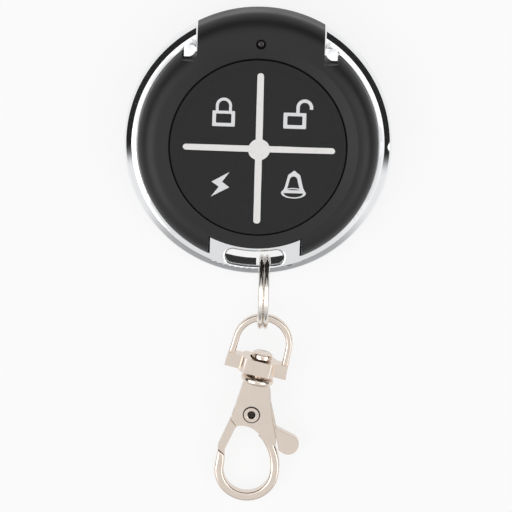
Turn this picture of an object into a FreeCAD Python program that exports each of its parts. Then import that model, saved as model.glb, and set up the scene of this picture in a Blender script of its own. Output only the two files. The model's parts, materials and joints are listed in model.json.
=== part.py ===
import FreeCAD, Part
import math
import os

import Sketcher
from FreeCAD import Placement, Rotation, Vector

# A round garage door remote, lying on its back with a split ring and a trigger clasp.
#
# +Z points out of the button face, +Y points away from the lug that carries the split ring,
# and the origin is the centre of the flat back face. All lengths are millimetres, all angles
# degrees. The remote is two black shells with a chrome metal frame trapped between their rims,
# and inside them a round circuit board with a coin cell under it and four switches on top.

# Driving dimensions: name, number, what it measures
SIZES = (
    # outer form of the fob
    ("ring_radius", "26.1", "outside radius of the metal frame"),
    ("ring_width", "2.45", "visible width of the metal frame"),
    ("ring_low", "2.8", "height of the frame's lower face"),
    ("ring_high", "8.5", "height of the frame's upper face"),
    ("ring_shoulder", "2.4", "radius of the frame's rounded front shoulder"),
    ("ring_foot_round", "0.6", "radius of the frame's lower outer edge"),
    ("flange_low", "4.7", "underside of the frame's hidden flange"),
    ("flange_high", "5.9", "top of the frame's hidden flange"),
    ("flange_width", "1.25", "how far the hidden flange reaches inwards"),
    ("seat_gap", "0.1", "clearance round the frame where the shells hold it"),
    ("crown_height", "13.4", "height of the front shell's crown"),
    ("dome_round", "4.0", "radius of the front shell's shoulder"),
    ("lip_drop", "0.45", "fall of the shallow lip towards the keypad"),
    ("part_line", "5.3", "height at which the two shells meet"),
    ("back_round", "2.7", "radius of the rear shell's lower edge"),
    ("back_step", "0.8", "how far the rear rim stays inside the frame"),
    ("shell_wall", "1.5", "wall thickness over and under the inside"),
    ("wall_reach", "7.4", "from the frame's outside to the space inside the shells"),
    # block at the head, between the frame's ends
    ("head_half", "12.4", "half width of the head block"),
    ("head_room_half", "7.6", "half width of the space inside the head block"),
    ("head_room_reach", "3.2", "from the frame's outside to the end of the head block's space"),
    ("end_gap", "0.3", "gap between the head block and the frame's ends"),
    ("notch_width", "2.9", "width of the notch beside the head block"),
    ("notch_reach", "9.6", "from the frame's outside to the inner end of a notch"),
    ("tab_gap", "0.35", "clearance of the frame's end tabs in the notches"),
    ("tab_round", "1.2", "radius of a tab's inner corner"),
    # lug for the split ring
    ("lug_half", "8.75", "half width of the lug"),
    ("lug_reach", "5.35", "from the frame's outside to the lug's inner edge"),
    ("lug_low", "4.9", "height of the lug's underside"),
    ("lug_let_in", "6.2", "from the frame's outside to the shells' edge at the lug"),
    ("lug_side_gap", "0.35", "clearance beside the lug"),
    ("lug_relief_half", "7.5", "half width of the thin bar behind the slot"),
    ("slot_reach", "4.7", "from the frame's outside to the slot's inner side"),
    ("slot_width", "2.7", "width of the slot"),
    ("slot_half_angle", "10.9", "angle from the middle to the centre of a slot end"),
    ("slot_round", "0.55", "rounded edge of the slot"),
    # keypad
    ("pad_reach", "9.0", "from the frame's outside to the keypad's edge"),
    ("pad_gap", "0.35", "gap round the keypad"),
    ("pad_drop", "0.2", "how far the keypad's face lies below the crown"),
    ("key_thick", "1.8", "thickness of a key"),
    ("rim_width", "1.7", "width of the keypad's rim round the keys"),
    ("key_gap", "0.2", "gap round each key"),
    ("cross_width", "2.4", "width of the cross between the keys"),
    ("skirt_inset", "0.6", "from the keypad's edge in to its standing skirt"),
    ("key_travel", "0.5", "how far a key moves"),
    ("key_pitch", "7.2", "distance of each key's switch from the middle lines"),
    ("stem_long", "1.0", "length of a key's stem"),
    ("plunger_radius", "1.7", "radius of a switch plunger"),
    # indicator
    ("lamp_reach", "5.8", "from the frame's outside to the indicator lamp"),
    ("lamp_long", "3.2", "length of the lamp"),
    ("lamp_wide", "1.6", "width of the lamp"),
    ("lamp_base", "0.6", "height of the lamp's case"),
    ("lamp_high", "1.1", "height of the lamp"),
    ("lamp_dome", "0.65", "radius of the lamp's dome"),
    ("lens_radius", "0.92", "radius of the lamp's lens"),
    ("lens_foot", "1.8", "radius of the lens's foot"),
    ("lens_foot_thick", "0.8", "thickness of the lens's foot"),
    ("lens_drop", "0.25", "how far the lens lies below the crown"),
    ("fit", "0.08", "running clearance"),
    # circuit board and battery
    ("board_gap", "0.4", "clearance round the circuit board"),
    ("board_low", "5.9", "underside of the circuit board"),
    ("board_thick", "1.0", "thickness of the circuit board"),
    ("tongue_gap", "0.7", "clearance round the board's tongue"),
    ("post_inset", "2.1", "from the inside wall to the middle of a rest"),
    ("post_radius", "1.5", "radius of a rest"),
    ("post_angle", "24", "angle of the rests above and below the middle"),
    ("switch_side", "6.0", "side of a switch"),
    ("plunger_rise", "1.0", "how far a plunger stands out of its case"),
    ("plunger_sunk", "0.8", "how far a plunger reaches into its case"),
    ("chip_long", "8.65", "length of the encoder chip"),
    ("chip_wide", "3.9", "width of the encoder chip"),
    ("chip_high", "1.45", "height of the encoder chip"),
    ("lead_pitch", "1.27", "pitch of the chip's leads"),
    ("can_side", "5.0", "side of the resonator's can"),
    ("can_gap", "1.5", "gap between the chip and the can"),
    ("can_high", "1.4", "height of the resonator's can"),
    ("brick_long", "1.6", "length of a small part"),
    ("brick_wide", "0.8", "width of a small part"),
    ("brick_high", "0.6", "height of a small part"),
    ("brick_pitch", "2.2", "pitch of a row of small parts"),
    ("brick_inset", "6.1", "from the board's edge to the rows of small parts"),
    ("cell_radius", "10.0", "radius of the coin cell"),
    ("cell_thick", "3.2", "thickness of the coin cell"),
    ("strap_thick", "0.3", "thickness of the battery contacts"),
    ("strap_width", "5.0", "width of the lower contact"),
    ("spring_width", "3.0", "width of the upper contact"),
    # screws
    ("screw_inset", "5.0", "from the frame's outside to the case screws"),
    ("screw_high_angle", "8", "angle of the upper pair of screws"),
    ("screw_low_angle", "32", "angle of the lower pair of screws"),
    ("screw_radius", "0.95", "radius of a screw's thread"),
    ("screw_head", "1.7", "radius of a screw's head"),
    ("screw_head_thick", "1.1", "thickness of a screw's head"),
    ("screw_reach", "6.5", "length of a screw under its head"),
    ("screw_sunk", "1.6", "depth of the screw's counterbore"),
    ("screw_rim", "0.25", "height of a screw head's straight rim"),
    ("screw_cross", "0.9", "half length of a screw's cross recess"),
    ("screw_cross_half", "0.15", "half width of a screw's cross recess"),
    ("screw_cross_deep", "0.55", "depth of a screw's cross recess"),
    # split ring
    ("split_radius", "7.35", "outside radius of the split ring"),
    ("split_wire", "1.02", "width of the split ring's wire"),
    ("split_chamfer", "0.3", "chamfered edge of the wire"),
    ("split_gap", "0.07", "gap between the two turns"),
    ("split_ramp", "32", "angle in which the wire crosses over"),
    ("rest_gap", "0.05", "how far the split ring stays above the table"),
    ("split_x", "2.0", "sideways place of the split ring"),
    ("split_reach", "3.3", "from the frame's outside to the split ring's middle"),
    # trigger clasp, in its own frame: along the swivel axis and across it
    ("clasp_tilt", "10.2", "turn of the hook about the upright axis"),
    ("eye_tilt", "12.5", "turn of the eye about the upright axis"),
    ("clasp_pitch", "8.1", "slope of the clasp down to the table"),
    ("clasp_x", "2.6", "place of the hook's swivel axis"),
    ("bow_gap", "0.48", "how far the eye's bow stays from the split ring's wire"),
    ("clasp_z", "5.87", "height of the head of the swivel axis"),
    ("pin_offset", "0.7", "how far the loose swivel pin leans over in the eye"),
    ("clasp_unit", "1.0", "one step of the hook's and the lever's outlines"),
    ("eye_radius", "5.85", "outside radius of the eye's bow"),
    ("eye_bar", "1.25", "width of the eye's bow"),
    ("eye_thick", "1.7", "thickness of the eye's bow"),
    ("eye_round", "0.4", "rounded edge of the bow"),
    ("base_thick", "2.5", "thickness of the eye's base"),
    ("eye_centre", "0.05", "centre of the bow along the swivel axis"),
    ("eye_offset", "0.1", "how much thicker the eye's bow is at its top"),
    ("eye_half", "6.15", "half width of the eye's base"),
    ("boss_radius", "3.65", "radius of the eye's boss"),
    ("boss_top", "-3.2", "top of the eye's boss"),
    ("boss_low", "-6.15", "underside of the eye's boss"),
    ("boss_rim", "0.2", "how far the boss stands out under the eye's base"),
    ("eye_taper", "0.18", "draft of the eye's base"),
    ("swivel_radius", "1.1", "radius of the swivel pin"),
    ("swivel_play", "0.78", "play of the swivel pin in the eye"),
    ("boss_shift", "0.2", "how far the eye's boss stands to one side"),
    ("swivel_head", "1.98", "radius of the swivel pin's head"),
    ("swivel_head_top", "-1.95", "top of the swivel pin's head"),
    ("swivel_chamfer", "0.2", "chamfer of the swivel pin's head"),
    ("swivel_end", "-7.95", "lower end of the swivel pin"),
    ("collar_radius", "3.2", "radius of the hook's collar"),
    ("collar_top", "-6.75", "top of the hook's collar"),
    ("collar_low", "-8.15", "underside of the hook's collar"),
    ("collar_round", "0.65", "rounded edge of the hook's collar"),
    ("hook_thick", "2.5", "thickness of the hook"),
    ("channel_width", "1.3", "width of the slot that the lever lies in"),
    ("lever_thick", "1.14", "thickness of the lever inside the slot"),
    ("gate_thick", "2.1", "thickness of the lever's gate"),
    ("thumb_thick", "1.8", "thickness of the lever's thumb tab"),
    ("neck_half", "2.5", "half width of the hook's neck"),
    ("root_rise", "2.0", "how far the loop reaches up into the hook's plate"),
    ("loop_round", "0.5", "rounded edge of the hook's loop"),
    ("channel_left", "-0.75", "closed side of the lever's slot"),
    ("channel_top", "-8.9", "closed end of the lever's slot"),
    ("loop_x", "1.78", "centre of the hook's loop across"),
    ("loop_y", "-26.1", "centre of the hook's loop along"),
    ("nib_reach", "3.0", "how far the hook's tip stands up beyond the loop's centre"),
    ("loop_outer", "6.35", "outside radius of the hook's loop"),
    ("loop_inner", "4.57", "inside radius of the hook's loop"),
    ("pivot_x", "0.37", "lever rivet across"),
    ("pivot_y", "-14.6", "lever rivet along"),
    ("rivet_radius", "0.95", "radius of the lever rivet"),
    ("rivet_flange", "1.56", "radius of the lever rivet's rim"),
    ("rivet_rim", "0.22", "thickness of the lever rivet's rim"),
    ("rivet_edge", "0.12", "rounded edge of the lever rivet's rim"),
    ("rivet_dish", "0.82", "radius of the dish in the lever rivet"),
    ("rivet_dish_deep", "0.45", "depth of the dish in the lever rivet"),
    ("coil_radius", "0.46", "radius of the lever spring"),
    ("coil_wire", "0.14", "radius of the lever spring's wire"),
)

FOB_SPAN = 60
START, END, CENTRE = range(1, 4)
ORIGIN_POINT = -START

# The lever's heel, which the spring presses on, in steps of the clasp's outlines from the rivet
HEEL = 1.75


class Size:
    """A number together with its formula in the sheet, so that a feature can be bound to it."""

    def __init__(self, value, text):
        self.value = value
        self.text = text

    def __add__(self, other):
        other = as_size(other)
        return Size(self.value + other.value, f"({self.text} + {other.text})")

    def __sub__(self, other):
        other = as_size(other)
        return Size(self.value - other.value, f"({self.text} - {other.text})")

    def __mul__(self, other):
        other = as_size(other)
        return Size(self.value * other.value, f"{self.text} * {other.text}")

    def __truediv__(self, other):
        other = as_size(other)
        return Size(self.value / other.value, f"{self.text} / ({other.text})")

    def __neg__(self):
        return Size(-self.value, f"(0 - {self.text})")

    __radd__ = __add__
    __rmul__ = __mul__

    def __rsub__(self, other):
        return as_size(other) - self


def as_size(number):
    if isinstance(number, Size):
        return number
    return Size(float(number), f"({float(number)})")


def root(size):
    return Size(math.sqrt(size.value), f"sqrt({size.text})")


def sine(size):
    return Size(math.sin(math.radians(size.value)), f"sin({size.text})")


def cosine(size):
    return Size(math.cos(math.radians(size.value)), f"cos({size.text})")


def chord(radius, across):
    """Distance along one axis of the point on a circle that lies this far across."""
    return root(radius * radius - across * across)


class Sheet:
    """The driving dimensions, readable as attributes: sheet.ring_radius."""

    def __init__(self, document, rows):
        self.cells = document.addObject("Spreadsheet::Sheet", "Sizes")
        for row, (name, number, meaning) in enumerate(rows, start=1):
            self.cells.set(f"A{row}", name)
            self.cells.set(f"B{row}", number)
            self.cells.set(f"C{row}", meaning)
            self.cells.setAlias(f"B{row}", name)
        document.recompute()
        for name, number, meaning in rows:
            setattr(self, name, Size(float(self.cells.get(name)), f"Sizes.{name}"))


doc = FreeCAD.newDocument("GarageRemote")
s = Sheet(doc, SIZES)
parts = []


def bind(thing, name, size):
    """Set a property from a size and keep it bound to the sheet."""
    size = as_size(size)
    thing.setExpression(name, size.text)
    return size.value


def keep(thing, label):
    """Give a finished sub-part its name and put it on the list of nodes."""
    thing.Label = label
    parts.append(thing)
    return thing


def new_body(label):
    body = doc.addObject("PartDesign::Body", label)
    return keep(body, label)


def origin_plane(body, role):
    for feature in body.Origin.OriginFeatures:
        if feature.Role == role:
            return feature
    raise ValueError(role)


# Outlines. A path is a list of corners (x, y) or (x, y, radius): the third number makes the
# stretch that arrives at that corner an arc, turning left for a positive radius and right for
# a negative one. A round hole is ("circle", x, y, radius).

def arc_centre(start, end, radius):
    middle = (start + end) * 0.5
    step = end - start
    half = step.Length / 2
    rise = math.sqrt(max(radius * radius - half * half, 0.0))
    left = Vector(-step.y, step.x, 0) / step.Length
    return middle + left * (rise if radius > 0 else -rise)


def arc_between(start, end, radius):
    centre = arc_centre(start, end, radius)
    first = math.atan2(start.y - centre.y, start.x - centre.x)
    last = math.atan2(end.y - centre.y, end.x - centre.x)
    if radius < 0:
        first, last = last, first
    if last <= first:
        last += 2 * math.pi
    circle = Part.Circle(centre, Vector(0, 0, 1), abs(radius))
    return Part.ArcOfCircle(circle, first, last)


def fix_point(sketch, curve, corner, x, y):
    """Hold one point of a curve at a place worked out in the sheet."""
    for kind, size in (("DistanceX", as_size(x)), ("DistanceY", as_size(y))):
        constraint = Sketcher.Constraint(kind, ORIGIN_POINT, 1, curve, corner, size.value)
        index = sketch.addConstraint(constraint)
        if "Sizes" in size.text:
            sketch.setExpression(f"Constraints[{index}]", size.text)


def fix_radius(sketch, curve, radius):
    size = as_size(radius)
    positive = size if size.value > 0 else -size
    index = sketch.addConstraint(Sketcher.Constraint("Radius", curve, positive.value))
    if "Sizes" in positive.text:
        sketch.setExpression(f"Constraints[{index}]", positive.text)


def draw_circle(sketch, x, y, radius):
    centre = Vector(as_size(x).value, as_size(y).value, 0)
    circle = Part.Circle(centre, Vector(0, 0, 1), as_size(radius).value)
    curve = sketch.addGeometry(circle, False)
    fix_point(sketch, curve, CENTRE, x, y)
    fix_radius(sketch, curve, radius)


def draw_loop(sketch, path):
    corners = [Vector(as_size(p[0]).value, as_size(p[1]).value, 0) for p in path]
    curves = []
    reversed_arcs = set()
    for index, corner in enumerate(corners):
        following = path[(index + 1) % len(path)]
        target = corners[(index + 1) % len(path)]
        if len(following) == 3:
            radius = as_size(following[2]).value
            curves.append(sketch.addGeometry(arc_between(corner, target, radius), False))
            if radius < 0:
                reversed_arcs.add(index)
        else:
            curves.append(sketch.addGeometry(Part.LineSegment(corner, target), False))
    for index, curve in enumerate(curves):
        after = (index + 1) % len(curves)
        leaving = START if index in reversed_arcs else END
        arriving = END if after in reversed_arcs else START
        joint = Sketcher.Constraint("Coincident", curve, leaving, curves[after], arriving)
        sketch.addConstraint(joint)
    for index, curve in enumerate(curves):
        beginning = END if index in reversed_arcs else START
        fix_point(sketch, curve, beginning, path[index][0], path[index][1])
        following = path[(index + 1) % len(path)]
        if len(following) == 3:
            fix_radius(sketch, curve, following[2])


def outline(body, name, plane, loops, lift=0):
    """A sketch on one of a body's own origin planes, lifted along the plane's normal."""
    sketch = body.newObject("Sketcher::SketchObject", name)
    sketch.AttachmentSupport = [(origin_plane(body, plane), "")]
    sketch.MapMode = "FlatFace"
    height = as_size(lift)
    sketch.AttachmentOffset = Placement(Vector(0, 0, height.value), Rotation())
    if "Sizes" in height.text:
        sketch.setExpression("AttachmentOffset.Base.z", height.text)
    for loop in loops:
        if loop[0] == "circle":
            draw_circle(sketch, loop[1], loop[2], loop[3])
        else:
            draw_loop(sketch, loop)
    return sketch


def checked(body, feature, adds):
    """Recompute, and make sure that the feature really added or removed material."""
    before = body.Tip.Shape.Volume if body.Tip and body.Tip != feature else None
    doc.recompute()
    if not feature.isValid():
        raise RuntimeError(f"{body.Label}: {feature.Name} failed")
    previous = feature.BaseFeature.Shape.Volume if feature.BaseFeature else before or 0.0
    change = feature.Shape.Volume - previous
    if (change > 0) != adds or abs(change) < 1e-6:
        raise RuntimeError(f"{body.Label}: {feature.Name} changed the volume by {change}")
    return feature


def revolve(body, name, plane, loops, angle=360, axis="V_Axis", lift=0):
    sketch = outline(body, name + "_outline", plane, loops, lift)
    feature = body.newObject("PartDesign::Revolution", name)
    feature.Profile = sketch
    feature.ReferenceAxis = (sketch, [axis])
    feature.Angle = bind(feature, "Angle", angle)
    return checked(body, feature, True)


def groove(body, name, plane, loops, axis="V_Axis"):
    sketch = outline(body, name + "_outline", plane, loops)
    feature = body.newObject("PartDesign::Groove", name)
    feature.Profile = sketch
    feature.ReferenceAxis = (sketch, [axis])
    feature.Angle = 360
    return checked(body, feature, False)


def pad(body, name, plane, loops, low, high):
    """Material between two levels along the plane's normal."""
    sketch = outline(body, name + "_outline", plane, loops, low)
    feature = body.newObject("PartDesign::Pad", name)
    feature.Profile = sketch
    feature.Length = bind(feature, "Length", as_size(high) - low)
    return checked(body, feature, True)


def pocket(body, name, plane, loops, low, high):
    """A cut between two levels along the plane's normal."""
    sketch = outline(body, name + "_outline", plane, loops, high)
    feature = body.newObject("PartDesign::Pocket", name)
    feature.Profile = sketch
    feature.Length = bind(feature, "Length", as_size(high) - low)
    return checked(body, feature, False)


def edges_where(feature, wanted):
    names = []
    for index, edge in enumerate(feature.Shape.Edges, start=1):
        if wanted(edge):
            names.append(f"Edge{index}")
    if not names:
        raise RuntimeError(f"{feature.Name}: no edge found")
    return names


def round_edges(body, name, radius, wanted):
    base = body.Tip
    feature = body.newObject("PartDesign::Fillet", name)
    feature.Base = (base, edges_where(base, wanted))
    feature.Radius = bind(feature, "Radius", radius)
    doc.recompute()
    if not feature.isValid() or feature.Shape.isNull():
        raise RuntimeError(f"{body.Label}: {name} failed")
    return feature


def middle_of(edge):
    low, high = edge.ParameterRange
    return edge.valueAt((low + high) / 2)


def rectangle(x_low, x_high, y_low, y_high):
    return [(x_low, y_low), (x_high, y_low), (x_high, y_high), (x_low, y_high)]


def stay_at(thing, x, y, z):
    """Put a finished piece in its place, and keep that place bound to the sheet."""
    place = [as_size(size) for size in (x, y, z)]
    thing.Placement.Base = Vector(*[size.value for size in place])
    for axis, size in zip("xyz", place):
        thing.setExpression(f"Placement.Base.{axis}", size.text)


def around(angle, radius):
    """A point on a circle about the origin, with its angle counted from +X."""
    return radius * cosine(as_size(angle)), radius * sine(as_size(angle))


# Places that several pieces share
ring_inner = s.ring_radius - s.ring_width
inside_radius = s.ring_radius - s.wall_reach
head_room_end = s.ring_radius - s.head_room_reach
notch_outer = s.head_half + s.notch_width
notch_floor = s.ring_radius - s.notch_reach
skirt = ring_inner - s.seat_gap
flange_inner = ring_inner - s.flange_width
crown_edge = skirt - s.dome_round
pad_radius = s.ring_radius - s.pad_reach
key_radius = pad_radius - s.rim_width
opening = pad_radius + s.pad_gap
lip_height = s.crown_height - s.lip_drop
roof = s.crown_height - s.shell_wall
pad_high = s.crown_height - s.pad_drop
pad_low = pad_high - s.key_thick
stem_low = pad_low - s.stem_long
switch_top = stem_low - s.plunger_rise
board_top = s.board_low + s.board_thick
board_radius = inside_radius - s.board_gap
lamp_y = s.ring_radius - s.lamp_reach
lug_inner = s.ring_radius - s.lug_reach
lug_recess = s.ring_radius - s.lug_let_in
slot_inner = s.ring_radius - s.slot_reach
slot_outer = slot_inner + s.slot_width
lug_cut_half = s.lug_half + s.lug_side_gap
split_y = -(s.ring_radius + s.split_reach)
ring_inside = s.split_radius - s.split_wire - s.bow_gap
bow_inside = s.eye_radius - s.eye_bar + s.eye_centre
hook_corner = (s.clasp_x, split_y - ring_inside - bow_inside, s.clasp_z)
screw_circle = s.ring_radius - s.screw_inset
screw_angles = (s.screw_high_angle, 180 - s.screw_high_angle,
                180 + s.screw_low_angle, 360 - s.screw_low_angle)
screw_places = [around(angle, screw_circle) for angle in screw_angles]
key_signs = {"lock": (-1, 1), "unlock": (1, 1), "light": (-1, -1), "alarm": (1, -1)}


def keep_slab(body, low, high):
    """Cut away everything but the band that the head block is made from."""
    frame = rectangle(-FOB_SPAN, FOB_SPAN, -FOB_SPAN, FOB_SPAN)
    slab = rectangle(-s.head_half, s.head_half, 0, FOB_SPAN / 2)
    pocket(body, "head_slab", "XY_Plane", [frame, slab], low, high)


def cut_notches(body, low, high):
    for name, sign in (("left_notch", -1), ("right_notch", 1)):
        inner = s.head_half * sign
        outer = notch_outer * sign
        if sign < 0:
            inner, outer = outer, inner
        path = rectangle(inner, outer, notch_floor, FOB_SPAN / 2)
        pocket(body, name, "XY_Plane", [path], low, high)


def cut_lug_recess(body, low, high):
    reach = -chord(lug_recess, lug_cut_half)
    path = [(-lug_cut_half, reach), (lug_cut_half, reach, lug_recess),
            (lug_cut_half, -FOB_SPAN / 2), (-lug_cut_half, -FOB_SPAN / 2)]
    pocket(body, "lug_recess", "XY_Plane", [path], low, high)


def make_front_shell():
    body = new_body("front_shell")
    lip = [(opening, lip_height), (0, lip_height)]
    head = [(0, s.part_line), (s.ring_radius, s.part_line),
            (s.ring_radius, s.crown_height - s.dome_round),
            (s.ring_radius - s.dome_round, s.crown_height, s.dome_round),
            (crown_edge, s.crown_height)]
    revolve(body, "head_form", "XZ_Plane", [head + lip])
    keep_slab(body, s.part_line, s.crown_height)
    over_flange = s.flange_high + s.seat_gap
    dome = [(0, s.part_line), (flange_inner - s.seat_gap, s.part_line),
            (flange_inner - s.seat_gap, over_flange), (skirt, over_flange),
            (skirt, s.crown_height - s.dome_round),
            (crown_edge, s.crown_height, s.dome_round)]
    revolve(body, "dome", "XZ_Plane", [dome + lip])
    cut_notches(body, s.part_line, s.crown_height)
    cut_lug_recess(body, s.part_line, s.crown_height)
    groove(body, "inside", "XZ_Plane", [rectangle(0, inside_radius, s.part_line, roof)])
    room = rectangle(-s.head_room_half, s.head_room_half, 0, head_room_end)
    pocket(body, "head_room", "XY_Plane", [room], s.part_line, roof)
    pocket(body, "keypad_opening", "XY_Plane", [("circle", 0, 0, opening)],
           roof, s.crown_height)
    lamp_hole = ("circle", 0, lamp_y, s.lens_radius + s.fit)
    pocket(body, "lamp_hole", "XY_Plane", [lamp_hole], roof, s.crown_height)
    pilots = [("circle", x, y, s.screw_radius - s.fit) for x, y in screw_places]
    pilot_top = s.screw_sunk + s.screw_reach + 0.5
    pocket(body, "screw_pilots", "XY_Plane", pilots, s.part_line, pilot_top)


def make_rear_shell():
    body = new_body("rear_shell")
    head = [(0, 0), (s.ring_radius - s.back_round, 0),
            (s.ring_radius, s.back_round, s.back_round),
            (s.ring_radius, s.part_line), (0, s.part_line)]
    revolve(body, "head_form", "XZ_Plane", [head])
    keep_slab(body, 0, s.part_line)
    rim = s.ring_radius - s.back_step
    under_ring = s.ring_low - s.seat_gap
    dish = [(0, 0), (rim - s.back_round + 0.05, 0), (rim, under_ring, s.back_round),
            (skirt, under_ring), (skirt, s.flange_low - s.seat_gap),
            (flange_inner - s.seat_gap, s.flange_low - s.seat_gap),
            (flange_inner - s.seat_gap, s.part_line), (0, s.part_line)]
    revolve(body, "dish", "XZ_Plane", [dish])
    cut_notches(body, 0, s.part_line)
    cut_lug_recess(body, 0, s.part_line)
    hollow = rectangle(0, inside_radius, s.shell_wall, s.part_line)
    groove(body, "inside", "XZ_Plane", [hollow])
    room = rectangle(-s.head_room_half, s.head_room_half, 0, head_room_end)
    pocket(body, "head_room", "XY_Plane", [room], s.shell_wall, s.part_line)
    rest_angles = (s.post_angle, 180 - s.post_angle, 180 + s.post_angle, 360 - s.post_angle)
    rests = [around(angle, inside_radius - s.post_inset) for angle in rest_angles]
    circles = [("circle", x, y, s.post_radius) for x, y in rests]
    pad(body, "board_rests", "XY_Plane", circles, s.shell_wall - 0.2, s.board_low)
    heads = [("circle", x, y, s.screw_head + s.fit) for x, y in screw_places]
    pocket(body, "screw_seats", "XY_Plane", heads, 0, s.screw_sunk)
    holes = [("circle", x, y, s.screw_radius + s.fit) for x, y in screw_places]
    pocket(body, "screw_holes", "XY_Plane", holes, s.screw_sunk, s.part_line)


def ring_tab(sign):
    """Outline of the tab that turns in from one end of the metal frame."""
    near = s.head_half + s.end_gap
    far = notch_outer - s.tab_gap
    low = notch_floor + s.tab_gap
    high = chord(ring_inner + 0.6, far)
    path = [(far * sign, low), (far * sign, high), (near * sign, high),
            (near * sign, low + s.tab_round * 2),
            ((near + s.tab_round) * sign, low, s.tab_round * 1.5 * sign)]
    return path


def make_metal_ring():
    body = new_body("metal_ring")
    shoulder_low = s.ring_high - s.ring_shoulder
    band = [(s.ring_radius, shoulder_low),
            (s.ring_radius - s.ring_shoulder, s.ring_high, s.ring_shoulder),
            (ring_inner, s.ring_high), (ring_inner, s.flange_high),
            (flange_inner, s.flange_high), (flange_inner, s.flange_low),
            (ring_inner, s.flange_low), (ring_inner, s.ring_low),
            (s.ring_radius - s.ring_foot_round, s.ring_low),
            (s.ring_radius, s.ring_low + s.ring_foot_round, s.ring_foot_round)]
    revolve(body, "band", "XZ_Plane", [band])
    end = s.head_half + s.end_gap
    gap = rectangle(-end, end, 0, FOB_SPAN / 2)
    pocket(body, "head_gap", "XY_Plane", [gap], s.ring_low, s.ring_high)
    for name, sign in (("left_tab", -1), ("right_tab", 1)):
        pad(body, name, "XY_Plane", [ring_tab(sign)], s.ring_low, s.ring_high)
    inner = -chord(lug_inner, s.lug_half)
    into_band = ring_inner + s.ring_width * 0.4
    outer = -chord(into_band, s.lug_half)
    lug = [(-s.lug_half, inner, -lug_inner), (-s.lug_half, outer),
           (s.lug_half, outer, into_band), (s.lug_half, inner)]
    pad(body, "lug", "XY_Plane", [lug], s.lug_low, s.ring_high)
    relief = rectangle(-s.lug_relief_half, s.lug_relief_half, -FOB_SPAN / 2, -lug_recess)
    pocket(body, "lug_relief", "XY_Plane", [relief], s.ring_low, s.lug_low)
    pocket(body, "ring_slot", "XY_Plane", [slot_path()], s.lug_low, s.ring_high)
    soften_lug(body)


def slot_path():
    """A slot along a circle about the origin, with round ends of two quarter arcs each."""
    middle = slot_inner + s.slot_width / 2
    half = s.slot_width / 2
    points = []
    for sign in (-1, 1):
        angle = -90 + s.slot_half_angle * sign
        x, y = around(angle, middle)
        tip = (x - half * sine(angle) * sign, y + half * cosine(angle) * sign)
        points.append((around(angle, slot_inner), tip, around(angle, slot_outer)))
    (left_in, left_tip, left_out), (right_in, right_tip, right_out) = points
    return [left_in + (-slot_inner,), left_tip + (half,), left_out + (half,),
            right_out + (slot_outer,), right_tip + (half,), right_in + (half,)]


def soften_lug(body):
    """Round the slot's long edges, so that the split ring runs over a smooth bar."""
    low, high = s.lug_low.value, s.ring_high.value
    reach = (slot_inner.value - 0.2, slot_outer.value + 0.2)
    half = s.lug_relief_half.value

    def on_slot(edge):
        spot = middle_of(edge)
        radius = math.hypot(spot.x, spot.y)
        flat = abs(spot.z - low) < 0.01 or abs(spot.z - high) < 0.01
        return flat and reach[0] < radius < reach[1] and abs(spot.x) < half and spot.y < 0

    round_edges(body, "slot_edges", s.slot_round, on_slot)


def make_keypad_mat():
    """The fixed part of the rubber keypad: its rim, the cross and the skirt it stands on."""
    body = new_body("keypad_mat")
    apron = inside_radius - s.pad_gap
    skirt_inner = pad_radius - s.skirt_inset
    under_roof = roof - s.seat_gap
    rim = [(key_radius + s.key_gap, pad_low), (skirt_inner, pad_low),
           (skirt_inner, board_top), (apron, board_top), (apron, under_roof),
           (pad_radius, under_roof), (pad_radius, pad_high),
           (key_radius + s.key_gap, pad_high)]
    revolve(body, "rim", "XZ_Plane", [rim])
    half = s.cross_width / 2
    reach = key_radius + s.key_gap * 2
    bars = {"upright_bar": rectangle(-half, half, -reach, reach),
            "level_bar": rectangle(-reach, reach, -half, half)}
    for name, path in bars.items():
        pad(body, name, "XY_Plane", [path], pad_low, pad_high)


def key_path(across, along):
    """A quarter of the key disc, clear of the cross: across and along are its signs."""
    near = s.cross_width / 2 + s.key_gap
    far = chord(key_radius, near)
    turn = key_radius * (across * along)
    return [(near * across, near * along), (far * across, near * along),
            (near * across, far * along, turn)]


def make_key(name, across, along):
    body = new_body(f"key_{name}")
    pad(body, "face", "XY_Plane", [key_path(across, along)], pad_low, pad_high)
    stem = ("circle", s.key_pitch * across, s.key_pitch * along, s.plunger_radius)
    pad(body, "stem", "XY_Plane", [stem], stem_low, pad_low)


def make_switch(name, across, along):
    x = s.key_pitch * across
    y = s.key_pitch * along
    half = s.switch_side / 2
    body = new_body(f"switch_{name}")
    case = rectangle(x - half, x + half, y - half, y + half)
    pad(body, "case", "XY_Plane", [case], board_top, switch_top)
    bore = ("circle", x, y, s.plunger_radius + s.fit)
    depth = s.plunger_sunk + s.key_travel + s.seat_gap
    pocket(body, "bore", "XY_Plane", [bore], switch_top - depth, switch_top)

    plunger = new_body(f"plunger_{name}")
    disc = ("circle", x, y, s.plunger_radius)
    pad(plunger, "button", "XY_Plane", [disc], switch_top - s.plunger_sunk,
        switch_top + s.plunger_rise)


def make_circuit_board():
    body = new_body("circuit_board")
    wide = s.head_room_half - s.tongue_gap
    far = head_room_end - s.tongue_gap
    radius = board_radius
    shoulder = chord(radius, wide)
    edge = [(wide, shoulder, radius), (wide, far), (-wide, far), (-wide, shoulder),
            (-radius, 0, radius), (0, -radius, radius), (radius, 0, radius)]
    pad(body, "laminate", "XY_Plane", [edge], s.board_low, board_top)


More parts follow.
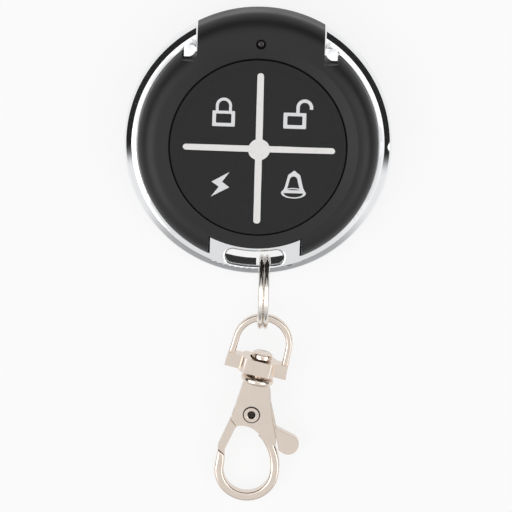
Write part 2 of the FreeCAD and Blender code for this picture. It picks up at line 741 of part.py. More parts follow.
def make_lamp():
    body = new_body("lamp")
    across = s.lamp_long / 2
    along = s.lamp_wide / 2
    case = rectangle(-across, across, lamp_y - along, lamp_y + along)
    case_top = board_top + s.lamp_base
    pad(body, "case", "XY_Plane", [case], board_top, case_top)
    dome = ("circle", 0, lamp_y, s.lamp_dome)
    pad(body, "dome", "XY_Plane", [dome], case_top, board_top + s.lamp_high)

    lens = new_body("lamp_lens")
    foot_top = roof - s.fit
    foot = ("circle", 0, lamp_y, s.lens_foot)
    pad(lens, "foot", "XY_Plane", [foot], foot_top - s.lens_foot_thick, foot_top)
    stem = ("circle", 0, lamp_y, s.lens_radius)
    stem_end = board_top + s.lamp_high + s.pad_drop
    pad(lens, "stem", "XY_Plane", [stem], stem_end, s.crown_height - s.lens_drop)


def make_encoder_chip():
    body = new_body("encoder_chip")
    half_long = s.chip_long / 2
    half_wide = s.chip_wide / 2
    case = rectangle(-half_wide, half_wide, -half_long, half_long)
    bottom = board_top + 0.15
    pad(body, "case", "XY_Plane", [case], bottom, board_top + s.chip_high)
    middle = (bottom + board_top + s.chip_high) / 2
    reach = s.chip_wide / 2 + 0.95
    lead = [(half_wide, middle), (reach - 0.5, middle), (reach - 0.4, board_top + 0.2),
            (reach, board_top + 0.2), (reach, board_top), (reach - 0.6, board_top),
            (reach - 0.7, middle - 0.2), (half_wide, middle - 0.2)]
    mirrored = [(-x, z) for x, z in lead]
    first = s.lead_pitch * 3 - 0.2
    pad(body, "leads", "XZ_Plane", [lead, mirrored], first, first + 0.4)
    leads = body.Tip
    pattern = body.newObject("PartDesign::LinearPattern", "lead_row")
    pattern.Originals = [leads]
    pattern.Direction = (leads.Profile[0], ["N_Axis"])
    pattern.Reversed = True
    pattern.Length = bind(pattern, "Length", s.lead_pitch * 6)
    pattern.Occurrences = 7
    body.Tip = pattern
    doc.recompute()


def make_resonator():
    body = new_body("resonator")
    half = s.can_side / 2
    y = -(s.chip_long / 2 + half + s.can_gap)
    case = rectangle(-half, half, y - half, y + half)
    pad(body, "can", "XY_Plane", [case], board_top, board_top + s.can_high)


def make_small_parts():
    """Capacitors and resistors, one node of separate bricks soldered round the chip."""
    bricks = []
    row = board_radius - s.brick_inset
    count = 4
    for step in range(count):
        y = s.brick_pitch * (step - (count - 1) / 2) - s.brick_wide / 2
        for sign in (-1, 1):
            brick = doc.addObject("Part::Box", "brick")
            brick.Length = bind(brick, "Length", s.brick_long)
            brick.Width = bind(brick, "Width", s.brick_wide)
            brick.Height = bind(brick, "Height", s.brick_high)
            stay_at(brick, row * sign - s.brick_long / 2, y, board_top)
            bricks.append(brick)
    group = doc.addObject("Part::Compound", "small_parts")
    group.Links = bricks
    keep(group, "small_parts")


def make_coin_cell():
    body = new_body("coin_cell")
    low = s.shell_wall + s.strap_thick + s.seat_gap
    high = low + s.cell_thick
    radius = s.cell_radius
    can = [(0, low), (radius - 0.4, low), (radius, low + 0.4, 0.4), (radius, high - 0.5),
           (radius - 0.5, high - 0.5), (radius - 1.2, high), (0, high)]
    revolve(body, "can", "XZ_Plane", [can])


def make_contacts():
    lower = new_body("contact_positive")
    low = s.shell_wall
    thick = s.strap_thick
    half = s.cell_radius + 0.6
    half_width = s.strap_width / 2
    strap = [(-half - thick, low), (half + thick, low), (half + thick, s.board_low),
             (half, s.board_low), (half, low + thick), (-half, low + thick),
             (-half, s.board_low), (-half - thick, s.board_low)]
    pad(lower, "strap", "XZ_Plane", [strap], -half_width, half_width)

    upper = new_body("contact_negative")
    cell_top = s.shell_wall + s.strap_thick + s.seat_gap + s.cell_thick
    half_width = s.spring_width / 2
    root_low = s.board_low - thick
    leaf = [(-8, root_low), (-5, root_low), (0, cell_top), (2.5, cell_top),
            (3.1, cell_top + 0.2), (2.3, cell_top + thick), (0.2, cell_top + thick),
            (-4.8, s.board_low), (-8, s.board_low)]
    pad(upper, "leaf", "XZ_Plane", [leaf], -half_width, half_width)


def make_case_screws():
    """Four self-tapping screws with domed heads and a cross recess, one node."""
    screws = []
    for index, (x, y) in enumerate(screw_places, start=1):
        body = doc.addObject("PartDesign::Body", f"screw_{index}")
        under = s.screw_sunk
        head_low = under - s.screw_head_thick
        end = under + s.screw_reach
        head = s.screw_head
        thread = s.screw_radius - s.fit * 2
        dome = s.screw_head_thick - s.screw_rim
        bend = easing(head * 0.4, dome)
        profile = [(0, head_low), (head * 0.6, head_low), (head, under - s.screw_rim, bend),
                   (head, under), (thread, under), (thread, end - s.screw_radius), (0, end)]
        revolve(body, "screw", "XZ_Plane", [profile])
        long = s.screw_cross
        short = s.screw_cross_half
        floor = head_low + s.screw_cross_deep
        for name, across, along in (("slot_a", long, short), ("slot_b", short, long)):
            path = rectangle(-across, across, -along, along)
            pocket(body, name, "XY_Plane", [path], head_low, floor)
        stay_at(body, x, y, 0)
        screws.append(body)
    group = doc.addObject("Part::Compound", "case_screws")
    group.Links = screws
    keep(group, "case_screws")


def clasp_place(corner, tilt, x, y):
    """A place counted from a corner, across and along a flat piece that is turned and sloped."""
    across = (cosine(tilt), -sine(tilt), 0)
    along = (sine(tilt) * cosine(s.clasp_pitch), cosine(tilt) * cosine(s.clasp_pitch),
             sine(s.clasp_pitch))
    return [at + x * right + y * ahead for at, right, ahead in zip(corner, across, along)]


def lay_down(thing, tilt, place):
    """Turn and slope a flat piece, so that its +Y runs along the swivel axis to the eye."""
    turn = Rotation(Vector(0, 0, 1), -tilt.value)
    slope = Rotation(Vector(1, 0, 0), s.clasp_pitch.value)
    thing.Placement = Placement(Vector(), turn.multiply(slope))
    stay_at(thing, *place)


def join_hook(thing, x=0, y=0):
    lay_down(thing, s.clasp_tilt, clasp_place(hook_corner, s.clasp_tilt, x, y))


def wire_section(level):
    """Cross-section of one turn of the split ring: a square bar with chamfered edges."""
    corner = s.split_chamfer
    outer = s.split_radius
    inner = outer - s.split_wire
    low = level - s.split_wire / 2
    high = level + s.split_wire / 2
    return [(inner + corner, low), (outer - corner, low), (outer, low + corner),
            (outer, high - corner), (outer - corner, high), (inner + corner, high),
            (inner, high - corner), (inner, low + corner)]


def make_split_ring():
    """Two turns of one bar, side by side, with the crossing that joins them."""
    body = new_body("split_ring")
    rise = s.split_wire + s.split_gap
    turn = 360 - s.split_ramp
    revolve(body, "first_turn", "XZ_Plane", [wire_section(-rise / 2)], turn)
    section = outline(body, "crossing_outline", "XZ_Plane", [wire_section(rise / 2)])
    crossing = body.newObject("PartDesign::AdditiveHelix", "crossing")
    crossing.Profile = section
    crossing.ReferenceAxis = (section, ["V_Axis"])
    crossing.Mode = "height-turns-angle"
    crossing.Reversed = True
    crossing.Height = bind(crossing, "Height", rise)
    crossing.Turns = bind(crossing, "Turns", s.split_ramp / 360)
    checked(body, crossing, True)
    revolve(body, "second_turn", "XZ_Plane", [wire_section(rise / 2)], turn)
    height = s.split_radius + s.rest_gap
    body.Placement = Placement(Vector(), Rotation(Vector(0, 1, 0), 90))
    stay_at(body, s.split_x, split_y, height)


def make_swivel_eye():
    body = new_body("swivel_eye")
    outer = s.eye_radius
    inner = outer - s.eye_bar
    centre = s.eye_centre
    sill = s.boss_top
    foot = s.boss_low + s.boss_rim
    bow = [(-s.eye_half, foot), (s.eye_half, foot), (outer, centre),
           (0, centre + outer, outer), (-outer, centre, outer)]
    low = centre - s.eye_offset
    window = [(-inner - s.eye_offset, sill), (inner + s.eye_offset, sill), (inner, low),
              (0, low + inner, inner), (-inner, low, inner)]
    half = s.eye_thick / 2
    pad(body, "bow", "XY_Plane", [bow, window], -half, half)

    def on_bow(edge):
        spot = middle_of(edge)
        flat = abs(abs(spot.z) - half.value) < 0.001
        return flat and spot.y > sill.value + s.boss_rim.value

    round_edges(body, "bow_edges", s.eye_round, on_bow)
    block = [(-s.eye_half, foot), (s.eye_half, foot), (s.eye_half - s.eye_taper, sill),
             (-s.eye_half + s.eye_taper, sill)]
    half = s.base_thick / 2
    pad(body, "base", "XY_Plane", [block], -half, half)
    circle = ("circle", s.boss_shift, 0, s.boss_radius)
    pad(body, "boss", "XZ_Plane", [circle], -s.boss_top, -s.boss_low)
    bore = ("circle", s.boss_shift, 0, s.swivel_radius + s.swivel_play)
    pocket(body, "swivel_bore", "XZ_Plane", [bore], -s.boss_top, -s.boss_low)
    middle = (s.boss_top + s.boss_low) / 2
    meeting = clasp_place(hook_corner, s.clasp_tilt, 0, middle)
    lay_down(body, s.eye_tilt, clasp_place(meeting, s.eye_tilt, -s.pin_offset, -middle))


def make_swivel_pin():
    body = new_body("swivel_pin")
    under_head = s.boss_top + s.seat_gap * 2
    chamfer = s.swivel_chamfer
    profile = [(0, s.swivel_end), (s.swivel_radius, s.swivel_end),
               (s.swivel_radius, under_head), (s.swivel_head, under_head),
               (s.swivel_head, s.swivel_head_top - chamfer),
               (s.swivel_head - chamfer, s.swivel_head_top), (0, s.swivel_head_top)]
    revolve(body, "pin", "XY_Plane", [profile])
    join_hook(body)


def loop_point(angle, radius):
    x, y = around(angle, radius)
    return s.loop_x + x, s.loop_y + y


def easing(across, along):
    """Radius of the arc that leaves an upright tangent and drifts this far across."""
    return (across * across + along * along) / (across * 2)


def by_pivot(across, along):
    """A point of the hook or the lever, counted from the lever's rivet."""
    return s.pivot_x + s.clasp_unit * across, s.pivot_y + s.clasp_unit * along


def by_nib(across, along):
    """A point of the gate, counted from the outer corner of the loop's nib."""
    left = s.loop_x - s.loop_outer
    top = s.loop_y + s.nib_reach
    return left + s.clasp_unit * across, top + s.clasp_unit * along


def loop_outline():
    """The open loop from its nib, round the bottom and up into the plate."""
    inner_left = loop_point(180, s.loop_inner)
    inner_low = loop_point(270, s.loop_inner)
    inner_right = loop_point(0, s.loop_inner)
    outer_left = loop_point(180, s.loop_outer)
    outer_low = loop_point(270, s.loop_outer)
    outer_right = loop_point(0, s.loop_outer)
    throat = by_pivot(2.2, -4.0)
    throat_bend = easing(inner_right[0] - throat[0], throat[1] - inner_right[1])
    back = by_pivot(6.2, -6.1)
    climb = back[1] - outer_right[1]
    back_bend = easing(outer_right[0] - back[0], climb)
    lean = climb / (back_bend - outer_right[0] + back[0])
    back_top = (back[0] - lean * s.root_rise, back[1] + s.root_rise)
    nib = (inner_left[0] - s.clasp_unit * 0.33, s.loop_y + s.nib_reach - s.clasp_unit * 0.75)
    nib_bend = easing(inner_left[0] - nib[0], nib[1] - inner_left[1])
    return [throat,
            inner_right + (-throat_bend,),
            inner_low + (-s.loop_inner,),
            inner_left + (-s.loop_inner,),
            nib + (nib_bend,),
            (outer_left[0], s.loop_y + s.nib_reach),
            outer_left,
            outer_low + (s.loop_outer,),
            outer_right + (s.loop_outer,),
            back + (back_bend,),
            back_top]


def plate_outline():
    """Plate between the neck and the loop, with its lower edge hollowed over the gate."""
    neck_top = s.collar_low + s.clasp_unit * 0.4
    return [(-s.neck_half, neck_top),
            by_pivot(-3.72, -1.7),
            by_pivot(-2.37, -2.88),
            by_pivot(3.2, -4.7) + (s.clasp_unit * -4.5,),
            by_pivot(5.9, -5.4),
            by_pivot(5.9, -4.6),
            by_pivot(3.78, 0.9),
            (s.neck_half, neck_top)]


def make_hook():
    body = new_body("hook")
    half = s.hook_thick / 2
    pad(body, "loop", "XY_Plane", [loop_outline()], -half, half)
    loop_top = by_pivot(0, -4.5)[1]

    def on_loop(edge):
        spot = middle_of(edge)
        flat = abs(abs(spot.z) - half.value) < 0.001
        return flat and spot.y < loop_top.value

    round_edges(body, "loop_edges", s.loop_round, on_loop)
    pad(body, "plate", "XY_Plane", [plate_outline()], -half, half)
    rim = s.collar_round
    collar = [(0, s.collar_low), (s.collar_radius - rim, s.collar_low),
              (s.collar_radius, s.collar_low + rim, rim),
              (s.collar_radius, s.collar_top - rim),
              (s.collar_radius - rim, s.collar_top, rim), (0, s.collar_top)]
    revolve(body, "collar", "XY_Plane", [collar])
    pin_hole = ("circle", 0, 0, s.swivel_radius)
    pocket(body, "pin_hole", "XZ_Plane", [pin_hole], -s.collar_top, -s.swivel_end)
    channel = [(s.channel_left, s.channel_top), (s.channel_left, by_pivot(0, 2.1)[1]),
               by_pivot(-3.6, 0.3), by_pivot(-7.4, -1.7), by_pivot(-7.4, -5.6),
               by_pivot(2.6, -5.6), by_pivot(3.3, -4), by_pivot(8.6, -4),
               (by_pivot(6.6, 0)[0], s.channel_top)]
    half = s.channel_width / 2
    pocket(body, "lever_slot", "XY_Plane", [channel], -half, half)
    half = s.hook_thick / 2
    hole = ("circle", s.pivot_x, s.pivot_y, s.rivet_radius)
    pocket(body, "rivet_hole", "XY_Plane", [hole], -half, half)
    join_hook(body)


def make_gate_lever():
    """One lever: its gate closes the hook, its heel meets the spring, its tab takes the thumb."""
    body = new_body("gate_lever")
    web = [by_pivot(HEEL, 3.4), by_pivot(HEEL, 2.0), by_pivot(-1.5, 1.35),
           by_pivot(-2.2, -0.4), by_pivot(-3.6, -1.75), by_pivot(-3.9, -3.0),
           by_pivot(-2.9, -4.3), by_pivot(-2.3, -3.2),
           by_pivot(-0.7, -2.1) + (s.clasp_unit * -3,), by_pivot(1.3, -2.1),
           by_pivot(4.0, -3.6), by_pivot(6.3, -3.85), by_pivot(5.3, -1.7), by_pivot(3.1, 3.4)]
    half = s.lever_thick / 2
    pad(body, "web", "XY_Plane", [web], -half, half)
    gate = [by_pivot(-3.85, -1.85), by_nib(-0.2, 0.75), by_nib(0, 0.12),
            by_nib(1.35, -0.66), by_nib(1.28, 0.45), by_pivot(-2.47, -3.08)]
    half = s.gate_thick / 2
    pad(body, "gate", "XY_Plane", [gate], -half, half)
    thumb = [by_pivot(4.98, -1.65), by_pivot(6.72, -6.2), by_pivot(7.93, -6.65),
             by_pivot(10.35, -4.45) + (s.clasp_unit * 2.1,),
             by_pivot(8.88, -2.75) + (s.clasp_unit * 1.9,)]
    half = s.thumb_thick / 2
    pad(body, "thumb_tab", "XY_Plane", [thumb], -half, half)
    half = s.gate_thick / 2
    hole = ("circle", s.pivot_x, s.pivot_y, s.rivet_radius + s.fit)
    pocket(body, "hub_hole", "XY_Plane", [hole], -half, half)
    join_hook(body)


def make_gate_rivet():
    body = new_body("gate_rivet")
    top = s.hook_thick / 2 + s.rivet_rim
    under = s.hook_thick / 2
    shank = s.rivet_radius
    flange = s.rivet_flange
    edge = s.rivet_edge
    dish = s.rivet_dish
    floor = dish * 0.75
    level = top - s.rivet_dish_deep
    profile = [(0, -level), (floor, -level), (dish, -top), (flange - edge, -top),
               (flange, edge - top, edge), (flange, -under), (shank, -under),
               (shank, under), (flange, under), (flange, top - edge),
               (flange - edge, top, edge), (dish, top), (floor, level), (0, level)]
    revolve(body, "rivet", "XZ_Plane", [profile])
    join_hook(body, s.pivot_x, s.pivot_y)


def arc_leaving(start, direction, end):
    """The arc that leaves a point along a direction and reaches another point."""
    step = end - start
    along = step * (1 / step.Length)
    side = direction - along * direction.dot(along)
    turn = direction.getAngle(along)
    rise = step.Length / 2 * math.tan(turn / 2)
    middle = (start + end) * 0.5 + side.normalize() * rise
    return Part.Arc(start, middle, end).toShape()


def coil_wire(radius, pitch, turns, per_turn=4):
    """Tangent pairs of arcs along a helix about +X."""
    slope = pitch / (2 * math.pi)

    def on_helix(step):
        angle = step * 2 * math.pi / per_turn
        place = Vector(slope * angle, radius * math.cos(angle), radius * math.sin(angle))
        heading = Vector(slope, -radius * math.sin(angle), radius * math.cos(angle))
        return place, heading.normalize()

    edges = []
    for step in range(turns * per_turn):
        first, leaving = on_helix(step)
        last, arriving = on_helix(step + 1)
        gap = last - first
        along = gap.dot(leaving + arriving)
        bend = 2 * (1 - leaving.dot(arriving))
        reach = (math.sqrt(along * along + bend * gap.dot(gap)) - along) / bend
        joint = (first + leaving * reach + last - arriving * reach) * 0.5
        edges.append(arc_leaving(first, leaving, joint))
        edges.append(arc_leaving(last, arriving * -1, joint))
    ordered = [Part.Edge(edge) for edge in edges]
    return Part.Wire(Part.__sortEdges__(ordered)), on_helix(0)


def six_sided(centre, heading, radius):
    """A six-sided section, which keeps the thin wire to a few faces."""
    side = heading.cross(Vector(1, 0, 0)).normalize()
    other = heading.cross(side)
    corners = []
    for step in range(7):
        angle = math.radians(60 * step)
        corners.append(centre + (side * math.cos(angle) + other * math.sin(angle)) * radius)
    return Part.makePolygon(corners)


def make_gate_spring():
    """A small coil spring in the lever's slot, pressed between the slot's end and the heel."""
    turns = 3
    left = s.channel_left + s.coil_wire + s.fit / 4
    right = by_pivot(HEEL, 0)[0] - s.coil_wire - s.fit / 2
    pitch = (right.value - left.value) / turns
    path, (start, heading) = coil_wire(s.coil_radius.value, pitch, turns)
    section = six_sided(start, heading, s.coil_wire.value)
    shape = path.makePipeShell([section], True, False)
    print(f"gate_spring: gap between turns {pitch - 2 * s.coil_wire.value:.2f} mm")
    spring = doc.addObject("Part::Feature", "gate_spring")
    spring.Shape = Part.Solid(shape)
    join_hook(spring, left, by_pivot(0, 2.75)[1])
    keep(spring, "gate_spring")


def finish():
    doc.recompute()
    for thing in parts:
        if "Invalid" in thing.State or "Error" in thing.State:
            raise RuntimeError(f"{thing.Label}: {thing.State}")
        if thing.Shape.isNull() or not thing.Shape.isValid():
            raise RuntimeError(f"{thing.Label}: bad shape")
    os.makedirs("parts", exist_ok=True)
    for thing in parts:
        thing.Shape.exportStep(f"parts/{thing.Label}.step")
        print(f"{thing.Label}: {thing.Shape.Volume:.2f} mm3, {len(thing.Shape.Solids)} solids")


make_front_shell()
make_rear_shell()
make_metal_ring()
make_keypad_mat()
for key_name, (across_sign, along_sign) in key_signs.items():
    make_key(key_name, across_sign, along_sign)
    make_switch(key_name, across_sign, along_sign)
make_circuit_board()
make_lamp()
make_encoder_chip()
make_resonator()
make_small_parts()
make_coin_cell()
make_contacts()
make_case_screws()
make_split_ring()
make_swivel_eye()
make_swivel_pin()
make_hook()
make_gate_lever()
make_gate_rivet()
make_gate_spring()
finish()
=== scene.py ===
# %% [markdown]
# # A round garage door remote with a trigger clasp
#
# The remote lies on its back on a pale table. Its body is two black plastic shells with a
# chromed metal frame between their rims, and a rubber keypad with four printed signs. A split
# ring hangs in the lug of the frame, and a nickel-plated clasp with a swivel hangs in the ring.
#
# The measured parts come first, as a fixed frame. Everything that is made here is in the same
# place and at the same size, in metres, so nothing has to be fitted by eye.

import json
import math

import bmesh
import bpy
import mathutils
from mathutils import Matrix, Vector


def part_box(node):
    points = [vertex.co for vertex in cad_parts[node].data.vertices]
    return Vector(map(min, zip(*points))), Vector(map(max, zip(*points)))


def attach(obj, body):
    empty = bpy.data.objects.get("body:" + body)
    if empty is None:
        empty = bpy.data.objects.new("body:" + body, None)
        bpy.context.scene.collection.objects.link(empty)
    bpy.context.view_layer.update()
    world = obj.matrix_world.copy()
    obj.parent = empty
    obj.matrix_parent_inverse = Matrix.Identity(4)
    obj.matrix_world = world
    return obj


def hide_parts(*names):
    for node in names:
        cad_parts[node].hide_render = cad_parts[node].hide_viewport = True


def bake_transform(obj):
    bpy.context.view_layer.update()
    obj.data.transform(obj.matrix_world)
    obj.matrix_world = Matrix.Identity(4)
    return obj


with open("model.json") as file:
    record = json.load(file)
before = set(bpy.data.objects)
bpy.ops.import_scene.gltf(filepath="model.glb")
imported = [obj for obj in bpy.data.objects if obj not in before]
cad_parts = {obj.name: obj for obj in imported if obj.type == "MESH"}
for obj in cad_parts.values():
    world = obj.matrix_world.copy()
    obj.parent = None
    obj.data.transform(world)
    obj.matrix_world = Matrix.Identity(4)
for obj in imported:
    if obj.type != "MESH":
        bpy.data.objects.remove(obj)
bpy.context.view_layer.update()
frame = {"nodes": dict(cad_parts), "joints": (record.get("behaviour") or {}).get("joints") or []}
nodes = frame["nodes"]
MM = 0.001

# %% [markdown]
# ## Camera
#
# The photograph was taken from almost straight above with a long lens, which keeps circles
# round. The head of the remote is a little nearer to the lens than its clasp, so the camera
# leans back by less than ten degrees. The remote is also turned a little clockwise in the
# picture, and a turn of the camera about its own axis gives that without moving the object.

# %% The photograph's view
LEAN = math.radians(9.7)
ROLL = math.radians(1.8)
DISTANCE = 2.4
FRAME_WIDTH = 0.1
aim = Vector((0.29, -22.73, 5.4)) * MM

back = Vector((0, math.sin(LEAN), math.cos(LEAN)))
level_up = Vector((0, math.cos(LEAN), -math.sin(LEAN)))
level_right = level_up.cross(back)
up = level_up * math.cos(ROLL) + level_right * -math.sin(ROLL)
right = up.cross(back)

camera_data = bpy.data.cameras.new("camera")
camera = bpy.data.objects.new("camera", camera_data)
bpy.context.scene.collection.objects.link(camera)
camera_data.sensor_width = 36
camera_data.lens = camera_data.sensor_width * DISTANCE / FRAME_WIDTH
turn = Matrix((right, up, back)).transposed().to_4x4()
camera.matrix_world = Matrix.Translation(aim + back * DISTANCE) @ turn
camera_data.clip_start = 0.01
camera_data.clip_end = 10
bpy.context.scene.camera = camera


def pixel(point_mm):
    """Where a point of the object falls in a picture that is 512 pixels wide."""
    view = camera.matrix_world.inverted() @ (Vector(point_mm) * MM)
    scale = camera_data.lens / camera_data.sensor_width * 512 / -view.z
    return round(256 + view.x * scale, 1), round(256 - view.y * scale, 1)


bpy.context.view_layer.update()
print("frame centre", pixel((0, 0, 5.4)), "lug corners", pixel((-8.75, -18.8, 8.5)),
      pixel((8.75, -18.8, 8.5)), "keypad centre", pixel((0, 0, 13.2)))

# %% [markdown]
# ## A small language for materials
#
# A shader is a sum of small steps. Written with nodes one by one it is hard to read, so one
# class wraps a socket and lets Python's own operators add the Math nodes. Every other node
# comes from one method that takes its type, its settings and its inputs.

# %% Sockets that can be added and multiplied


class Value:
    """An output socket, with arithmetic."""

    def __init__(self, paint, socket):
        self.paint = paint
        self.socket = socket

    def out(self, name):
        """Another output of the same node."""
        return Value(self.paint, self.socket.node.outputs[name])

    def math(self, operation, *sides):
        return self.paint.node("ShaderNodeMath", {"operation": operation}, sides)

    def __add__(self, other):
        return self.math("ADD", self, other)

    def __sub__(self, other):
        return self.math("SUBTRACT", self, other)

    def __mul__(self, other):
        return self.math("MULTIPLY", self, other)

    def __rsub__(self, other):
        return self.math("SUBTRACT", other, self)

    def __abs__(self):
        return self.math("ABSOLUTE", self)

    __radd__ = __add__
    __rmul__ = __mul__


# %% A tree of nodes under construction


class Paint:
    """The node tree of a material or of the world."""

    def __init__(self, owner, shader):
        owner.use_nodes = True
        self.owner = owner
        self.tree = owner.node_tree
        self.shader = self.tree.nodes[shader]

    def node(self, kind, settings=None, inputs=(), output=0):
        """Add a node: its settings first, then the values or links of its sockets."""
        made = self.tree.nodes.new(kind)
        for key, setting in (settings or {}).items():
            setattr(made, key, setting)
        pairs = inputs.items() if isinstance(inputs, dict) else enumerate(inputs)
        for key, given in pairs:
            self.feed(made.inputs[key], given)
        return Value(self, made.outputs[output])

    def feed(self, socket, given):
        if isinstance(given, Value):
            self.tree.links.new(given.socket, socket)
        else:
            socket.default_value = given

    def set(self, **inputs):
        """Set the shader's own sockets, and give back the material."""
        for key, given in inputs.items():
            self.feed(self.shader.inputs[key.replace("_", " ")], given)
        return self.owner

    def place(self):
        """Object coordinates, in metres."""
        return self.node("ShaderNodeTexCoord", output="Object")

    def noise(self, place, scale, detail=2.0, rough=0.5):
        inputs = {"Vector": place, "Scale": scale, "Detail": detail, "Roughness": rough}
        return self.node("ShaderNodeTexNoise", {"noise_dimensions": "3D"}, inputs)

    def spread(self, value, low, high, new_low=0.0, new_high=1.0, shape="LINEAR"):
        """Carry one range of numbers over to another, and stop at its ends."""
        settings = {"clamp": True, "interpolation_type": shape}
        inputs = {"Value": value, "From Min": low, "From Max": high,
                  "To Min": new_low, "To Max": new_high}
        return self.node("ShaderNodeMapRange", settings, inputs)

    def mix(self, factor, one, other, blend="MIX"):
        """Mix two colours. The colour sockets of this node are its seventh and eighth."""
        settings = {"data_type": "RGBA", "blend_type": blend}
        return self.node("ShaderNodeMix", settings, {0: factor, 6: one, 7: other}, 2)

    def bump(self, height, distance, strength=1.0):
        inputs = {"Height": height, "Distance": distance, "Strength": strength}
        return self.node("ShaderNodeBump", {}, inputs)


def new_paint(name):
    return Paint(bpy.data.materials.new(name), "Principled BSDF")


def grey(level):
    return (level, level, level, 1.0)


# %% [markdown]
# ## Black shell plastic
#
# The shells are moulded in black ABS with the finest spark-eroded grain: from an arm's length
# it is a satin gloss that spreads the lights into soft grey bands. A very small noise gives
# the grain, and a broad one changes the gloss a little from place to place, as handling does.

# %% Shell plastic


def shell_plastic():
    paint = new_paint("shell_plastic")
    place = paint.place()
    grain = paint.noise(place, 9000, 1.0)
    handling = paint.noise(place, 120, 3.0)
    gloss = paint.spread(handling, 0.3, 0.7, 0.42, 0.50)
    colour = paint.mix(handling, (0.0040, 0.0040, 0.0043, 1), (0.0060, 0.0059, 0.0062, 1))
    return paint.set(Base_Color=colour, Roughness=gloss, Specular_IOR_Level=0.40,
                     Normal=paint.bump(grain, 0.000012))


shell_black = shell_plastic()

# %% [markdown]
# ## Chrome and nickel
#
# Chrome plate over a polished casting is nearly a mirror, but the casting under it is never
# quite flat, so long reflections wander a little. The clasp is plated with nickel, which is
# warmer and has been tumbled, so its gloss is softer and crossed by faint hairlines.

# %% Plated metals
CLASP_TONE = (0.785, 0.685, 0.605, 1)


def chrome_plate():
    paint = new_paint("chrome_plate")
    place = paint.place()
    waves = paint.noise(place, 160, 1.5)
    haze = paint.noise(place, 700, 3.0)
    gloss = paint.spread(haze, 0.3, 0.75, 0.05, 0.11)
    return paint.set(Base_Color=(0.87, 0.88, 0.895, 1), Metallic=1.0, Roughness=gloss,
                     Normal=paint.bump(waves, 0.00003))


def nickel_plate(name, colour, gloss_low, gloss_high, painted_shade=None):
    """Nickel, with painted shade, a dark colour, where the given function of a place says so."""
    paint = new_paint(name)
    place = paint.place()
    waves = paint.noise(place, 260, 2.0)
    haze = paint.noise(place, 500, 2.0)
    gloss = paint.spread(haze, 0.3, 0.75, gloss_low, gloss_high)
    # Painted shade: the colour is mixed towards a dark brown where the given function says so.
    if painted_shade:
        mask = painted_shade(paint, place)
        colour = paint.mix(mask, colour, (0.045, 0.038, 0.032, 1))
        gloss = gloss + mask * 0.25
    return paint.set(Base_Color=colour, Metallic=1.0, Roughness=gloss,
                     Normal=paint.bump(waves, 0.00003))


frame_chrome = chrome_plate()
clasp_nickel = nickel_plate("clasp_nickel", CLASP_TONE, 0.20, 0.26)
ring_nickel = nickel_plate("ring_nickel", (0.80, 0.75, 0.70, 1), 0.14, 0.20)

# %% [markdown]
# The lever turns on a hollow rivet. Its dish and the seam round its rim lie in shade, and
# that shade is painted into the nickel as a dark colour. The distance to the rivet's axis says
# where: the length of the cross product of the way from the axis with the axis itself.

# %% Nickel with painted shade round the rivet
joints = {joint["name"]: joint for joint in frame["joints"]}
trigger_pivot = joints["trigger_pivot"]
RIVET_PLACE = Vector(trigger_pivot["pos_m"])
RIVET_AXIS = Vector(trigger_pivot["axis"])


def rivet_distance(paint, place):
    """The distance to the rivet's axis, in millimetres."""
    way = paint.node("ShaderNodeVectorMath", {"operation": "SUBTRACT"}, (place, RIVET_PLACE))
    across = paint.node("ShaderNodeVectorMath", {"operation": "CROSS_PRODUCT"},
                        (way, RIVET_AXIS))
    return paint.node("ShaderNodeVectorMath", {"operation": "LENGTH"}, (across,), "Value") * 1000


# Painted shade in the rivet's dish.
def painted_shade_in_dish(paint, place):
    away = rivet_distance(paint, place)
    dish = 1 - paint.spread(away, 0.74, 0.86)
    return dish + paint.spread(away, 1.42, 1.50)


# Painted shade in the seam round the rivet's rim.
def painted_shade_in_seam(paint, place):
    away = rivet_distance(paint, place)
    return paint.spread(away, 1.48, 1.56) * (1 - paint.spread(away, 1.66, 1.78))


rivet_nickel = nickel_plate("rivet_nickel", CLASP_TONE, 0.18, 0.24, painted_shade_in_dish)
plate_nickel = nickel_plate("plate_nickel", CLASP_TONE, 0.20, 0.26, painted_shade_in_seam)

# %% [markdown]
# ## Keypad rubber
#
# Silicone rubber has no gloss to speak of. It picks up dust, which lifts its black a little
# and unevenly.

# %% Keypad rubber


def keypad_rubber():
    paint = new_paint("keypad_rubber")
    place = paint.place()
    dust = paint.noise(place, 900, 4.0, 0.6)
    skin = paint.noise(place, 12000, 1.0)
    colour = paint.mix(dust, (0.0075, 0.0076, 0.0082, 1), (0.0115, 0.0116, 0.0124, 1))
    gloss = paint.spread(dust, 0.3, 0.7, 0.62, 0.72)
    return paint.set(Base_Color=colour, Roughness=gloss, Specular_IOR_Level=0.30,
                     Normal=paint.bump(skin, 0.00001))


rubber = keypad_rubber()

# %% [markdown]
# ## Parts that nobody sees at rest
#
# The board, the battery and the switches are inside the shells. They still have their own
# finishes, because the shells may be hidden in another picture: a green lacquer over copper
# shapes, tinned steel, black moulded cases and clear smoke-coloured plastic.

# %% Finishes of the inner parts


def speckled(name, low, high, gloss, metallic=0.0, scale=1500):
    """A finish whose colour and gloss drift between two neighbours."""
    paint = new_paint(name)
    drift = paint.noise(paint.place(), scale, 3.0)
    sheen = paint.spread(drift, 0.3, 0.7, gloss[0], gloss[1])
    return paint.set(Base_Color=paint.mix(drift, low, high), Roughness=sheen,
                     Metallic=metallic, Normal=paint.bump(drift, 0.000008))


def board_lacquer():
    paint = new_paint("board_lacquer")
    place = paint.place()
    cells = {"Vector": place, "Scale": 420.0}
    tracks = paint.node("ShaderNodeTexVoronoi", {"feature": "F1", "distance": "MANHATTAN"}, cells)
    copper = paint.spread(tracks, 0.40, 0.46)
    colour = paint.mix(copper, (0.010, 0.110, 0.040, 1), (0.030, 0.200, 0.080, 1))
    gloss = paint.spread(paint.noise(place, 900), 0.3, 0.7, 0.25, 0.35)
    return paint.set(Base_Color=colour, Roughness=gloss, Normal=paint.bump(copper, 0.00003))


